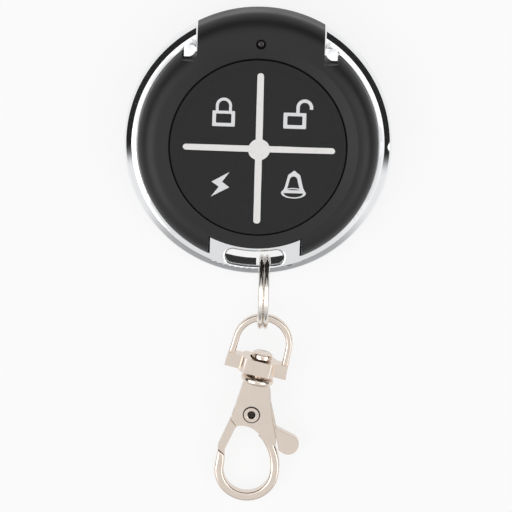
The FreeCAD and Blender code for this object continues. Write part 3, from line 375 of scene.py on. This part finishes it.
inner_finishes = {
    "circuit_board": board_lacquer(),
    "lamp": speckled("lamp_case", (0.62, 0.60, 0.52, 1), (0.70, 0.68, 0.60, 1), (0.3, 0.4)),
    "encoder_chip": speckled("chip_black", grey(0.012), grey(0.020), (0.5, 0.6)),
    "resonator": speckled("can_steel", grey(0.50), grey(0.58), (0.25, 0.35), 1.0),
    "small_parts": speckled("chip_grey", (0.10, 0.09, 0.07, 1), (0.16, 0.14, 0.11, 1),
                            (0.4, 0.5)),
    "coin_cell": speckled("cell_steel", grey(0.60), grey(0.66), (0.18, 0.28), 1.0),
    "contact_positive": speckled("contact_steel", grey(0.52), grey(0.60), (0.22, 0.32), 1.0),
}
inner_finishes["contact_negative"] = inner_finishes["contact_positive"]
switch_case = speckled("switch_case", grey(0.014), grey(0.022), (0.45, 0.55))
switch_button = speckled("switch_button", grey(0.030), grey(0.040), (0.35, 0.45))
screw_steel = speckled("screw_steel", (0.10, 0.10, 0.105, 1), (0.15, 0.15, 0.155, 1),
                       (0.28, 0.40), 1.0)
spring_steel = speckled("spring_steel", grey(0.40), grey(0.48), (0.2, 0.3), 1.0)


# %% Give each measured part its finish


def finish_node(name, material):
    """Put one finish on a measured part. Its shape stays as it is."""
    mesh = nodes[name].data
    mesh.materials.clear()
    mesh.materials.append(material)


KEYS = ("lock", "unlock", "light", "alarm")
for name, material in inner_finishes.items():
    finish_node(name, material)
for name in KEYS:
    finish_node(f"switch_{name}", switch_case)
    finish_node(f"plunger_{name}", switch_button)
for name in ("front_shell", "rear_shell"):
    finish_node(name, shell_black)
finish_node("metal_ring", frame_chrome)
finish_node("split_ring", ring_nickel)
for name in ("swivel_eye", "swivel_pin", "hook", "gate_lever", "gate_rivet"):
    finish_node(name, clasp_nickel)
finish_node("gate_spring", spring_steel)
finish_node("case_screws", screw_steel)
finish_node("keypad_mat", rubber)

# %% [markdown]
# ## Tools for flat shapes
#
# The keys and the printed signs are flat shapes with a small height. A pen that carries one
# vertex about is a handy way to draw such a shape: going ahead extrudes the vertex, and
# bending spins it about a centre at its side. The closed line is then filled. An outlined sign
# has a second line inside the first, and only the space between them is filled.

# %% A pen that draws with bmesh operators


class Pen:
    """Draws a closed line in millimetres on the level z = 0."""

    def __init__(self, x, y, heading):
        self.shape = bmesh.new()
        self.tip = bmesh.ops.create_vert(self.shape, co=Vector((x, y, 0)) * MM)["vert"][0]
        self.heading = heading

    def direction(self, turned=0.0):
        angle = math.radians(self.heading + turned)
        return Vector((math.cos(angle), math.sin(angle), 0))

    def turn(self, degrees):
        self.heading += degrees
        return self

    def ahead(self, length):
        made = bmesh.ops.extrude_vert_indiv(self.shape, verts=[self.tip])
        self.tip = made["verts"][0]
        self.tip.co += self.direction() * length * MM
        return self

    def bend(self, radius, degrees):
        """Go round an arc, to the left for a positive angle and to the right otherwise."""
        side = 90 if degrees > 0 else -90
        centre = self.tip.co + self.direction(side) * radius * MM
        steps = max(2, math.ceil(abs(degrees) / 6))
        made = bmesh.ops.spin(self.shape, geom=[self.tip], cent=centre, axis=(0, 0, 1),
                              angle=math.radians(degrees), steps=steps, use_merge=False)
        self.tip = next(part for part in made["geom_last"] if isinstance(part, bmesh.types.BMVert))
        self.heading += degrees
        return self

    def to(self, x, y):
        """Draw a straight line to a place."""
        made = bmesh.ops.extrude_vert_indiv(self.shape, verts=[self.tip])
        self.tip = made["verts"][0]
        self.tip.co = Vector((x, y, 0)) * MM
        return self

    def closed(self):
        bmesh.ops.remove_doubles(self.shape, verts=self.shape.verts, dist=2e-6)
        return self.shape

    def fill(self):
        bmesh.ops.contextual_create(self.closed(), geom=self.shape.edges[:])
        bmesh.ops.recalc_face_normals(self.shape, faces=self.shape.faces)
        return self.shape


def thickened(shape, low, high):
    """Turn flat faces into a body between two heights."""
    if shape.faces and shape.faces[:][0].normal.z < 0:
        bmesh.ops.reverse_faces(shape, faces=shape.faces[:])
    bmesh.ops.translate(shape, verts=shape.verts, vec=(0, 0, low * MM))
    made = bmesh.ops.extrude_face_region(shape, geom=shape.faces[:])
    raised = [part for part in made["geom"] if isinstance(part, bmesh.types.BMVert)]
    bmesh.ops.translate(shape, verts=raised, vec=(0, 0, (high - low) * MM))
    bmesh.ops.recalc_face_normals(shape, faces=shape.faces)
    return shape


def joined(*shapes):
    """Put several shapes into the first one."""
    first = shapes[0]
    for other in shapes[1:]:
        mesh = bpy.data.meshes.new("part")
        other.to_mesh(mesh)
        other.free()
        first.from_mesh(mesh)
        bpy.data.meshes.remove(mesh)
    return first


def framed(outer, window):
    """Fill the space between two closed lines."""
    lines = joined(outer.closed(), window.closed())
    bmesh.ops.triangle_fill(lines, use_beauty=True, edges=lines.edges[:], normal=(0, 0, 1))
    return lines


def piece(name, shape, material, body, smooth=False, sharp=30):
    """Make an object of a shape, which rides on a body of the remote if one is given."""
    mesh = bpy.data.meshes.new(name)
    shape.to_mesh(mesh)
    shape.free()
    mesh.materials.append(material)
    stored = mesh.attributes.get("custom_normal")
    if stored:
        mesh.attributes.remove(stored)
    if smooth:
        mesh.shade_smooth()
        mesh.set_sharp_from_angle(angle=math.radians(sharp))
    thing = bpy.data.objects.new(name, mesh)
    bpy.context.scene.collection.objects.link(thing)
    if body:
        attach(thing, body)
    print(name, len(mesh.polygons), "faces")
    return thing


# %% [markdown]
# ## Softened metal
#
# A plated casting never has a sharp edge: tumbling and polishing round it by a fraction of a
# millimetre, and that narrow band catches the room. It is what makes small metal parts look
# real. Here each metal part is copied, its triangles are merged into whole faces, and its sharp
# edges are bevelled. The measured part is hidden behind its softened copy.

# %% Round the edges of a measured part


def softened(node, width, segments=1, least=28, shaping=None):
    """A copy of a measured part with rounded edges."""
    shape = bmesh.new()
    shape.from_mesh(nodes[node].data)
    bmesh.ops.remove_doubles(shape, verts=shape.verts, dist=2e-6)
    if shaping:
        shaping(shape)
    bmesh.ops.dissolve_limit(shape, angle_limit=math.radians(0.08), verts=shape.verts,
                             edges=shape.edges, delimit=set())
    sharp = [edge for edge in shape.edges
             if edge.is_manifold and edge.calc_face_angle() > math.radians(least)]
    bmesh.ops.bevel(shape, geom=sharp, offset=width * MM, offset_type="OFFSET",
                    segments=segments, profile=0.5, affect="EDGES", material=-1,
                    clamp_overlap=True, loop_slide=True)
    return shape


# %% [markdown]
# The frame's rounded shoulder is really three bands: a nearly flat one beside the shell, a
# slope, and a round rim. The slope is flat across, so it shows one narrow part of the room as
# an even dark band. The copy's vertices on the shoulder are moved onto these bands. The two
# tabs beside the head are brighter than the lug in the photograph. That they rise to their
# front edge is a guess that gives them this light.

# %% Bands of the frame's shoulder
SHOULDER = (23.7, 6.1, 2.4)
TAB_SIDES = (12.5, 15.0)
TAB_FRONT, TAB_BACK = 16.85, 19.1
FLAT_EDGE, SLOPE_EDGE = 24.62, 25.52
BAND_RADII = ((23.7, 23.7), (24.7, FLAT_EDGE), (25.43, SLOPE_EDGE), (26.1, 26.1))
FLAT_TILT = math.radians(12)
SLOPE_TILT = math.radians(36)
TAB_TILT = math.radians(12.5)


def along_line(value, line):
    """Read a line of (from, to) places at one value."""
    for (a, b), (c, d) in zip(line, line[1:]):
        if value <= c:
            return b + (d - b) * (value - a) / (c - a)
    return line[-1][1]


def banded(shape):
    """Move the vertices on the round shoulder onto two straight bands and a rim."""
    start, foot, round_off = SHOULDER
    first = foot + round_off - (FLAT_EDGE - start) * math.tan(FLAT_TILT)
    second = first - (SLOPE_EDGE - FLAT_EDGE) * math.tan(SLOPE_TILT)
    heights = ((start, foot + round_off), (FLAT_EDGE, first), (SLOPE_EDGE, second))
    for corner in shape.verts:
        radius = corner.co.xy.length / MM
        x, y, z = corner.co / MM
        if TAB_SIDES[0] < abs(x) < TAB_SIDES[1] and TAB_FRONT - 0.1 < y < TAB_BACK and z > 8.4:
            corner.co.z += (TAB_BACK - y) * math.tan(TAB_TILT) * MM
        if not start <= radius <= start + round_off:
            continue
        arc = foot + math.sqrt(max(0, round_off ** 2 - (radius - start) ** 2))
        if abs(corner.co.z / MM - arc) > 0.015:
            continue
        moved = along_line(radius, BAND_RADII)
        corner.co.xy *= moved / radius
        if moved < SLOPE_EDGE + 0.01:
            corner.co.z = along_line(moved, heights) * MM


SOFT_METAL = {
    "hook": ("snap_hook", 0.24, plate_nickel, "clasp_nickel"),
    "gate_lever": ("trigger", 0.2, clasp_nickel, "clasp_nickel"),
    "gate_rivet": ("snap_hook", 0.06, rivet_nickel, "clasp_nickel"),
    "swivel_pin": ("snap_hook", 0.1, clasp_nickel, "clasp_nickel"),
    "split_ring": ("split_ring", 0.15, ring_nickel, "ring_steel"),
}
for name, (body, width, finish, slot) in SOFT_METAL.items():
    soft = piece(f"{name}_plated", softened(name, width), finish, body, smooth=True)
    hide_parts(name)

# %% [markdown]
# The lever's spring is a small coil between the end of the hook's slot and the lever's heel.
# It has to shorten when the thumb pushes the lever. Here its copy is only merged and
# smoothed, and it rides on no body of the remote. The spring lies across the clasp, at right
# angles to the swivel's axis.

# %% The spring's merged copy
hook_spin = joints["hook_spin"]
ACROSS_HOOK = Vector(hook_spin["axis"]).cross(RIVET_AXIS).normalized()
if ACROSS_HOOK.x < 0:
    ACROSS_HOOK.negate()
wire = bmesh.new()
wire.from_mesh(nodes["gate_spring"].data)
bmesh.ops.remove_doubles(wire, verts=wire.verts, dist=1e-6)
coil = piece("spring_coil", wire, spring_steel, None, smooth=True, sharp=60)
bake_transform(coil)
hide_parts("gate_spring")

# %% [markdown]
# The eye's boss has a flat front face in the photograph, and its back is taken to be the same.
# The copy's vertices that stand proud of those two planes are pressed back onto them. The
# planes follow the eye's own slope, which its swivel axis gives.

# %% The eye with its flat boss
EYE_SLOPE = math.radians(8.1)
EYE_TURN = math.radians(12.5)
along = Vector((math.sin(EYE_TURN) * math.cos(EYE_SLOPE),
                math.cos(EYE_TURN) * math.cos(EYE_SLOPE), math.sin(EYE_SLOPE)))
across = Vector((math.cos(EYE_TURN), -math.sin(EYE_TURN), 0))
out_of_eye = across.cross(along)
BOSS_HALF = 2.55 * MM


def filed_flat(shape):
    for corner in shape.verts:
        proud = (corner.co - Vector(hook_spin["pos_m"])).dot(out_of_eye)
        if abs(proud) > BOSS_HALF:
            corner.co -= out_of_eye * (proud - math.copysign(BOSS_HALF, proud))


eye_shape = softened("swivel_eye", 0.16, shaping=filed_flat)
plated_eye = piece("eye_plated", eye_shape, clasp_nickel, "eye", smooth=True)
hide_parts("swivel_eye")

# %% The frame with its three bands
frame_shape = softened("metal_ring", 0.1, segments=2, least=50, shaping=banded)
plated_frame = piece("frame_plated", frame_shape, frame_chrome, "remote",
                     smooth=True, sharp=20)
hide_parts("metal_ring")

# %% [markdown]
# The gap between the shells and the lug is deep and in shade on the real remote. A narrow strip
# of near-black, painted shade, fills it, so that the table doesn't shine through. The pen goes
# round the gap once: up one side, along the shells' edge, down the other side, and back along the
# lug.

# %% Painted shade strip round the lug


# Painted shade: a near-black sheet in the gap, whose darkness changes a little at random.
def painted_gap_shade():
    paint = new_paint("painted_gap_shade")
    dust = paint.noise(paint.place(), 3000, 2.0)
    return paint.set(Base_Color=paint.mix(dust, grey(0.0004), grey(0.0010)),
                     Roughness=0.9, Specular_IOR_Level=0.03)


shadow_black = painted_gap_shade()
STRIP_LOW, STRIP_HIGH = 5.0, 8.2
strip = Pen(-9.07, -21.6, 90)
strip.ahead(3.85).turn(-117.07).bend(19.93, 54.14).turn(-117.07).ahead(3.85)
strip.turn(-90).ahead(0.29).turn(-90).ahead(2.83).turn(115.06).bend(20.72, -50.12)
strip.turn(115.06).ahead(2.83)
strip_shape = thickened(strip.fill(), STRIP_LOW, STRIP_HIGH)
piece("lug_shade_strip", strip_shape, shadow_black, "remote")

# %% [markdown]
# The slot's outer wall is a dark slope in the photograph. How it is really shaped is a guess.
# Two wedges, one at each side of the split ring, give that wall its slope: their upper inner
# edge is pushed back to it.

# %% Slope of the slot's wall


def arc_band(inner, outer, from_angle, to_angle):
    """A sector of a flat ring round the remote's axis."""
    start = Vector((math.cos(math.radians(from_angle)), math.sin(math.radians(from_angle))))
    pen = Pen(start.x * inner, start.y * inner, from_angle)
    pen.ahead(outer - inner).turn(90).bend(outer, to_angle - from_angle)
    pen.turn(90).ahead(outer - inner).turn(90).bend(inner, from_angle - to_angle)
    return pen.fill()


WALL_RADIUS = 24.08
SLOPE_LOW, SLOPE_HIGH = 5.0, 8.1
for side, angles in (("left", (-104.0, -89.1)), ("right", (-82.3, -76.0))):
    wedge = thickened(arc_band(23.15, 24.14, *angles), SLOPE_LOW, SLOPE_HIGH)
    for corner in wedge.verts:
        if corner.co.z > 8 * MM and corner.co.xy.length < 23.6 * MM:
            corner.co.xy *= WALL_RADIUS * MM / corner.co.xy.length
    piece(f"slot_slope_{side}", wedge, frame_chrome, "remote", smooth=True)

# %% [markdown]
# ## The four keys
#
# On the real keypad the four keys are thick places in one sheet of rubber, so no seam shows
# round them. Here each key has to sink by itself. Each cap is a quarter of a disc that reaches
# to within a hair of the fixed cross and rim, which is far less than one dot of the picture.

# %% Key caps
KEY_SIGNS = {"lock": (-1, 1), "unlock": (1, 1), "light": (-1, -1), "alarm": (1, -1)}
HAIR = 0.012
PAD_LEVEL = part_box("keypad_mat")[1][2] / MM
KEY_THICK = 1.8
KEYS_RADIUS = 15.6
CROSS_HALF = 1.2
STEM_RADIUS = 1.7
STEM_PLACE = 7.2


def key_cap(across, along):
    """A quarter disc with its stem."""
    cap = bmesh.new()
    bmesh.ops.create_circle(cap, cap_ends=True, radius=(KEYS_RADIUS - HAIR) * MM, segments=240)
    for normal in ((across, 0, 0), (0, along, 0)):
        cut = Vector(normal) * (CROSS_HALF + HAIR) * MM
        parts = cap.verts[:] + cap.edges[:] + cap.faces[:]
        bmesh.ops.bisect_plane(cap, geom=parts, plane_co=cut, plane_no=normal, clear_inner=True)
    thickened(cap, PAD_LEVEL - KEY_THICK, PAD_LEVEL)
    stem = bmesh.new()
    bmesh.ops.create_circle(stem, cap_ends=True, radius=STEM_RADIUS * MM, segments=48)
    place = Vector((STEM_PLACE * across, STEM_PLACE * along, 0)) * MM
    bmesh.ops.translate(stem, verts=stem.verts, vec=place)
    thickened(stem, PAD_LEVEL - KEY_THICK - 1.0, PAD_LEVEL - KEY_THICK)
    return joined(cap, stem)


for name, (across, along) in KEY_SIGNS.items():
    cap = piece(f"key_{name}_cap", key_cap(across, along), rubber, f"key_{name}")
    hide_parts(f"key_{name}")

# %% [markdown]
# ## White print
#
# Pad printing leaves a film of ink about a hundredth of a millimetre thick, and its edges are
# never perfectly straight. The cross is drawn as one bar with round ends, turned for the
# second bar, and a disc in the middle. Its line is divided finely and pushed a little in and
# out by a noise, as the pad does when it presses on soft rubber. Blender starts this noise from
# the clock unless it is given a seed, and the print would then differ from run to run.

# %% Ink


def pad_ink(name, low, high):
    paint = new_paint(name)
    place = paint.place()
    cover = paint.noise(place, 1400, 4.0, 0.6)
    colour = paint.mix(cover, low, high)
    return paint.set(Base_Color=colour, Roughness=paint.spread(cover, 0.3, 0.7, 0.42, 0.55),
                     Normal=paint.bump(cover, 0.000006))


sign_ink = pad_ink("sign_ink", (0.58, 0.58, 0.595, 1), (0.66, 0.66, 0.675, 1))
cross_ink = pad_ink("cross_ink", (0.63, 0.62, 0.61, 1), (0.72, 0.71, 0.695, 1))
INK_LOW = PAD_LEVEL - 0.01
INK_HIGH = PAD_LEVEL + 0.02

# %% [markdown]
# The places of the printed signs were read in the photograph, in its pixels. One pixel is a
# little less than a fifth of a millimetre, and the small turn of the picture is taken back.

# %% From the photograph's pixels to the keypad
PIXEL = 1 / 5.12


def on_pad(px, py):
    """The place on the keypad's face, in millimetres, of a pixel of the photograph."""
    x = (px - 258.1) * PIXEL
    y = -(py - 141.3) * PIXEL
    flat_x = x * math.cos(ROLL) - y * math.sin(ROLL)
    flat_y = x * math.sin(ROLL) + y * math.cos(ROLL)
    lifted = flat_y + (PAD_LEVEL - 5.4) * math.sin(LEAN)
    return flat_x, lifted / math.cos(LEAN)


print("cross centre on the keypad", on_pad(259, 149.6))

# %% The white cross
PRINT_SEED = 7
mathutils.noise.seed_set(PRINT_SEED)


def roughened(shape, push, scale):
    """Divide a line finely and push it a little in and out, as ink edges are."""
    bmesh.ops.subdivide_edges(shape, edges=shape.edges[:], cuts=5)
    for corner in shape.verts:
        wander = mathutils.noise.noise_vector(corner.co * scale)
        corner.co.x += wander.x * push * MM
        corner.co.y += wander.y * push * MM
    return shape


def ink_bar(start, end, width):
    """A printed bar with round ends, between two places on the keypad."""
    run = Vector(end) - Vector(start)
    half = width / 2
    heading = math.degrees(math.atan2(run.y, run.x))
    side = Vector((run.y, -run.x)).normalized() * half
    pen = Pen(start[0] + side.x, start[1] + side.y, heading)
    return pen.ahead(run.length).bend(half, 180).ahead(run.length).bend(half, 180).fill()


def ink_disc(middle, radius, segments=64):
    disc = bmesh.new()
    bmesh.ops.create_circle(disc, cap_ends=True, radius=radius * MM, segments=segments)
    bmesh.ops.translate(disc, verts=disc.verts, vec=Vector((middle[0], middle[1], 0)) * MM)
    return disc


upright = ink_bar(on_pad(260.8, 77.6), on_pad(256.8, 220.4), 1.3)
level = ink_bar(on_pad(186.4, 147.2), on_pad(331.4, 151.7), 1.2)
hub = ink_disc(on_pad(259.0, 150.2), 2.1)
cross = joined(thickened(roughened(upright, 0.07, 900), INK_LOW, INK_HIGH),
               thickened(roughened(level, 0.07, 900), INK_LOW, INK_HIGH - 0.002),
               thickened(roughened(hub, 0.06, 700), INK_LOW, INK_HIGH + 0.002))
piece("printed_cross", cross, cross_ink, "remote")

# %% [markdown]
# The two padlocks are a box with a heavy border and a shackle. The open one has its shackle
# moved out to the side, with a short free end. The shackle's line is drawn round both of its
# sides, because it's open at its foot.

# %% Padlocks


def box_line(low, high):
    """The line of an upright box with softened corners, in pixels of the photograph."""
    x, y = on_pad(low[0] + 1, low[1])
    wide = (high[0] - low[0] - 2) * PIXEL
    tall = (low[1] - high[1] - 2) * PIXEL
    pen = Pen(x, y, 0)
    for length in (wide, tall, wide, tall):
        pen.ahead(length).bend(PIXEL, 90)
    return pen


def shackle(foot, width, stroke, left_leg, right_leg):
    """A hoop that starts at the outer foot of its left leg, at a pixel of the photograph."""
    outer = width / 2
    x, y = on_pad(*foot)
    pen = Pen(x, y, 90).ahead(left_leg).bend(outer, -180)
    pen.ahead(right_leg).turn(-90).ahead(stroke).turn(-90).ahead(right_leg)
    pen.bend(outer - stroke, 180).ahead(left_leg).turn(-90).ahead(stroke)
    return pen.fill()


def padlock(box, window, hoop):
    body = framed(box_line(*box), box_line(*window))
    return joined(thickened(body, INK_LOW, INK_HIGH), thickened(hoop, INK_LOW, INK_HIGH - 0.002))


closed = padlock([(212.3, 126.6), (234.8, 110.9)], [(216.0, 123.3), (231.3, 114.0)],
                 shackle((215.9, 112.2), 3.14, 0.56, 1.2, 1.2))
piece("printed_padlock_closed", closed, sign_ink, "key_lock")
opened = padlock([(283.0, 129.1), (305.7, 113.1)], [(287.0, 125.6), (302.0, 116.6)],
                 shackle((296.0, 114.6), 3.27, 0.66, 1.25, 0.35))
piece("printed_padlock_open", opened, sign_ink, "key_unlock")

# %% [markdown]
# The light's sign is a zigzag bolt of six corners. The alarm's sign is a bell: its line goes up
# one side, round a small knob and down the other, with a window inside it, and its mouth is a
# flattened ring that lies over the foot of the line.

# %% Bolt and bell
corners = [on_pad(*corner) for corner in ((229.6, 172.4), (211.6, 181.9), (218.9, 186.9),
                                          (210.8, 196.8), (229.3, 187.5), (222.2, 182.1))]
bolt = Pen(corners[0][0], corners[0][1], 0)
for x, y in corners[1:] + corners[:1]:
    bolt.to(x, y)
piece("printed_bolt", thickened(bolt.fill(), INK_LOW, INK_HIGH), sign_ink, "key_light")


def bell_line(x, y):
    """The bell's outer line, round the place (x, y) of its mouth's middle."""
    pen = Pen(x - 2.36, y, 52)
    pen.bend(4.0, 24).ahead(1.85).bend(0.9, -42).ahead(0.62).turn(35).bend(0.38, -138)
    pen.turn(35).ahead(0.62).bend(0.9, -42).ahead(1.85).bend(4.0, 24)
    return pen.to(x - 2.36, y)


def bell_window(x, y):
    pen = Pen(x - 1.30, y + 0.6, 76)
    pen.ahead(2.2).bend(0.75, -76).bend(0.75, -76).ahead(2.2)
    return pen.to(x - 1.30, y + 0.6)


def flat_ring(x, y, outer, inner, flatten):
    """A flattened ring: two circles bridged to each other."""
    ring = bmesh.new()
    for radius in (outer, inner):
        bmesh.ops.create_circle(ring, radius=radius * MM, segments=64)
    bmesh.ops.bridge_loops(ring, edges=ring.edges[:])
    squash = Matrix.Diagonal((1, flatten, 1, 1))
    bmesh.ops.transform(ring, matrix=squash, verts=ring.verts)
    bmesh.ops.translate(ring, verts=ring.verts, vec=Vector((x, y, 0)) * MM)
    return ring


mouth = on_pad(293.2, 193.5)
dome = thickened(framed(bell_line(*mouth), bell_window(*mouth)), INK_LOW, INK_HIGH)
lip = thickened(flat_ring(mouth[0], mouth[1], 2.40, 1.89, 0.43), INK_LOW, INK_HIGH + 0.002)
bell = joined(dome, lip)
piece("printed_bell", bell, sign_ink, "key_alarm")

# %% [markdown]
# ## Indicator lens
#
# A small dome of smoke-coloured plastic stands in its hole a little below the crown. A spun
# half outline gives the stem and the dome in one go, and a glossy dark base looks like the
# tinted plastic without any see-through parts.

# %% The lens


def smoke_plastic():
    paint = new_paint("smoke_plastic")
    drift = paint.noise(paint.place(), 2500, 2.0)
    colour = paint.mix(drift, (0.010, 0.008, 0.009, 1), (0.018, 0.013, 0.014, 1))
    return paint.set(Base_Color=colour, Roughness=0.12, Normal=paint.bump(drift, 0.000004))


def spun(points, centre, segments=64):
    """Spin an open line of (radius, height) places, in millimetres, about an upright axis."""
    turned = bmesh.new()
    corners = [bmesh.ops.create_vert(turned, co=Vector((r, 0, z)) * MM)["vert"][0]
               for r, z in points]
    for one, other in zip(corners, corners[1:]):
        bmesh.ops.contextual_create(turned, geom=[one, other])
    bmesh.ops.spin(turned, geom=turned.verts[:] + turned.edges[:], cent=(0, 0, 0),
                   axis=(0, 0, 1), angle=math.tau, steps=segments, use_merge=True)
    bmesh.ops.remove_doubles(turned, verts=turned.verts, dist=1e-6)
    bmesh.ops.recalc_face_normals(turned, faces=turned.faces)
    bmesh.ops.translate(turned, verts=turned.verts, vec=Vector(centre) * MM)
    return turned


lens_low, lens_high = [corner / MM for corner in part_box("lamp_lens")]
lens_x = (lens_low.x + lens_high.x) / 2
lens_y = (lens_low.y + lens_high.y) / 2
foot = (lens_high.x - lens_low.x) / 2
top = lens_high.z
cap = [(0.80 * math.sin(math.radians(a)), top - 0.45 + 0.45 * math.cos(math.radians(a)))
        for a in range(0, 91, 9)]
lens_line = cap + [(0.92, top - 0.47), (0.92, 11.80), (foot, 11.80), (foot, 11.04),
                    (0.92, 11.02), (0.92, lens_low.z), (0, lens_low.z)]
lens = piece("indicator_lens", spun(lens_line, (lens_x, lens_y, 0)), smoke_plastic(), "remote",
             smooth=True, sharp=40)
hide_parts("lamp_lens")

# %% [markdown]
# ## Table and studio
#
# The table is white to the camera and in reflections, so that the metal mirrors it, and part
# of it answers the lamps, which keeps the object's soft shadow. The room is a pale dome that
# is painted into the world: bright above, brighter at both sides, and dark low down behind
# the head, which gives the chrome its dark edge. The camera sees plain white instead of the
# room, and only reflections and the light on the object come from it.

# %% Floor


def table_white():
    """A white table: mostly its own light in the picture, partly the lamps' light."""
    paint = new_paint("table_white")
    paint.set(Base_Color=grey(0.62), Roughness=0.9)
    rays = paint.node("ShaderNodeLightPath")
    seen = rays.out("Is Camera Ray") + rays.out("Is Glossy Ray") + rays.out("Is Transmission Ray")
    own_light = seen * 0.86
    glow = paint.node("ShaderNodeEmission", {}, {"Color": grey(1.0), "Strength": 1.0})
    lit = Value(paint, paint.shader.outputs[0])
    mixed = paint.node("ShaderNodeMixShader", {}, (own_light, lit, glow))
    paint.feed(paint.tree.nodes["Material Output"].inputs["Surface"], mixed)
    return paint.owner


def staged(name, shape, material):
    mesh = bpy.data.meshes.new(name)
    shape.to_mesh(mesh)
    shape.free()
    mesh.materials.append(material)
    thing = bpy.data.objects.new(name, mesh)
    bpy.context.scene.collection.objects.link(thing)
    return thing


floor = bmesh.new()
bmesh.ops.create_grid(floor, x_segments=1, y_segments=1, size=2.5)
bmesh.ops.translate(floor, verts=floor.verts, vec=(0, 0, -0.02 * MM))
staged("table", floor, table_white())

# %% Room and lamps


def studio_room():
    """The world's light by direction: x and y along the floor, z up."""
    world = bpy.data.worlds.new("studio_room")
    bpy.context.scene.world = world
    paint = Paint(world, "Background")
    way = paint.node("ShaderNodeTexCoord", output="Generated")
    parts = paint.node("ShaderNodeSeparateXYZ", {}, (way,))
    x, y, z = parts.out("X"), parts.out("Y"), parts.out("Z")

    def rise(value, low, high):
        return paint.spread(value, low, high, shape="SMOOTHSTEP")

    ceiling = 0.83 + rise(y, -0.20, 0.10) * (1 - rise(z, 0.95, 0.985)) * 0.47
    walls = 0.12 + rise(z, 0.04, 0.20) * 0.33 + rise(z, 0.25, 0.62) * 0.40
    walls = walls - rise(y, 0.05, 0.45) * (walls - 0.55)
    high = rise(z, 0.76, 0.86)
    boxes = rise(abs(x), 0.22, 0.40) * (1 - rise(abs(y + 0.08), 0.30, 0.52))
    boxes = boxes * rise(z, 0.44, 0.52) * (1 - rise(z, 0.92, 0.97))
    sides = rise(abs(x), 0.40, 0.60) * (1 - rise(y, -0.36, -0.24)) * rise(y, -0.85, -0.60)
    sides = sides * rise(z, 0.0, 0.10) * (1 - rise(z, 0.44, 0.60))
    glow = (1 - rise(z, 0.06, 0.14)) * rise(y, 0.30, 0.60)
    slope = z - y * 0.155
    band = rise(y, -0.34, -0.20) * rise(slope, -0.20, -0.10) * (1 - rise(slope, 0.42, 0.48))
    level = ceiling * high + walls * (1 - high) + boxes * (2.3 - 2.1 * rise(z, 0.60, 0.88))
    level = level * (1 - band * 0.96) + sides * 0.45 + glow * 0.9
    rays = paint.node("ShaderNodeLightPath")
    seen = rays.out("Is Camera Ray") + rays.out("Is Transmission Ray")
    paint.feed(paint.shader.inputs["Color"], grey(1.0))
    paint.feed(paint.shader.inputs["Strength"], seen + level * (1 - seen))


studio_room()


def soft_lamp(name, place, size, power):
    """A square lamp that faces the remote."""
    data = bpy.data.lights.new(name, "AREA")
    data.shape = "SQUARE"
    data.size = size
    data.energy = power
    thing = bpy.data.objects.new(name, data)
    facing = Vector((0, -0.02, 0.005)) - Vector(place)
    turn = facing.to_track_quat("-Z", "Y").to_matrix().to_4x4()
    thing.matrix_world = Matrix.Translation(place) @ turn
    bpy.context.scene.collection.objects.link(thing)


soft_lamp("key_lamp", (-0.55, -0.35, 0.85), 0.45, 1.2)
bpy.context.scene.view_settings.view_transform = "Standard"
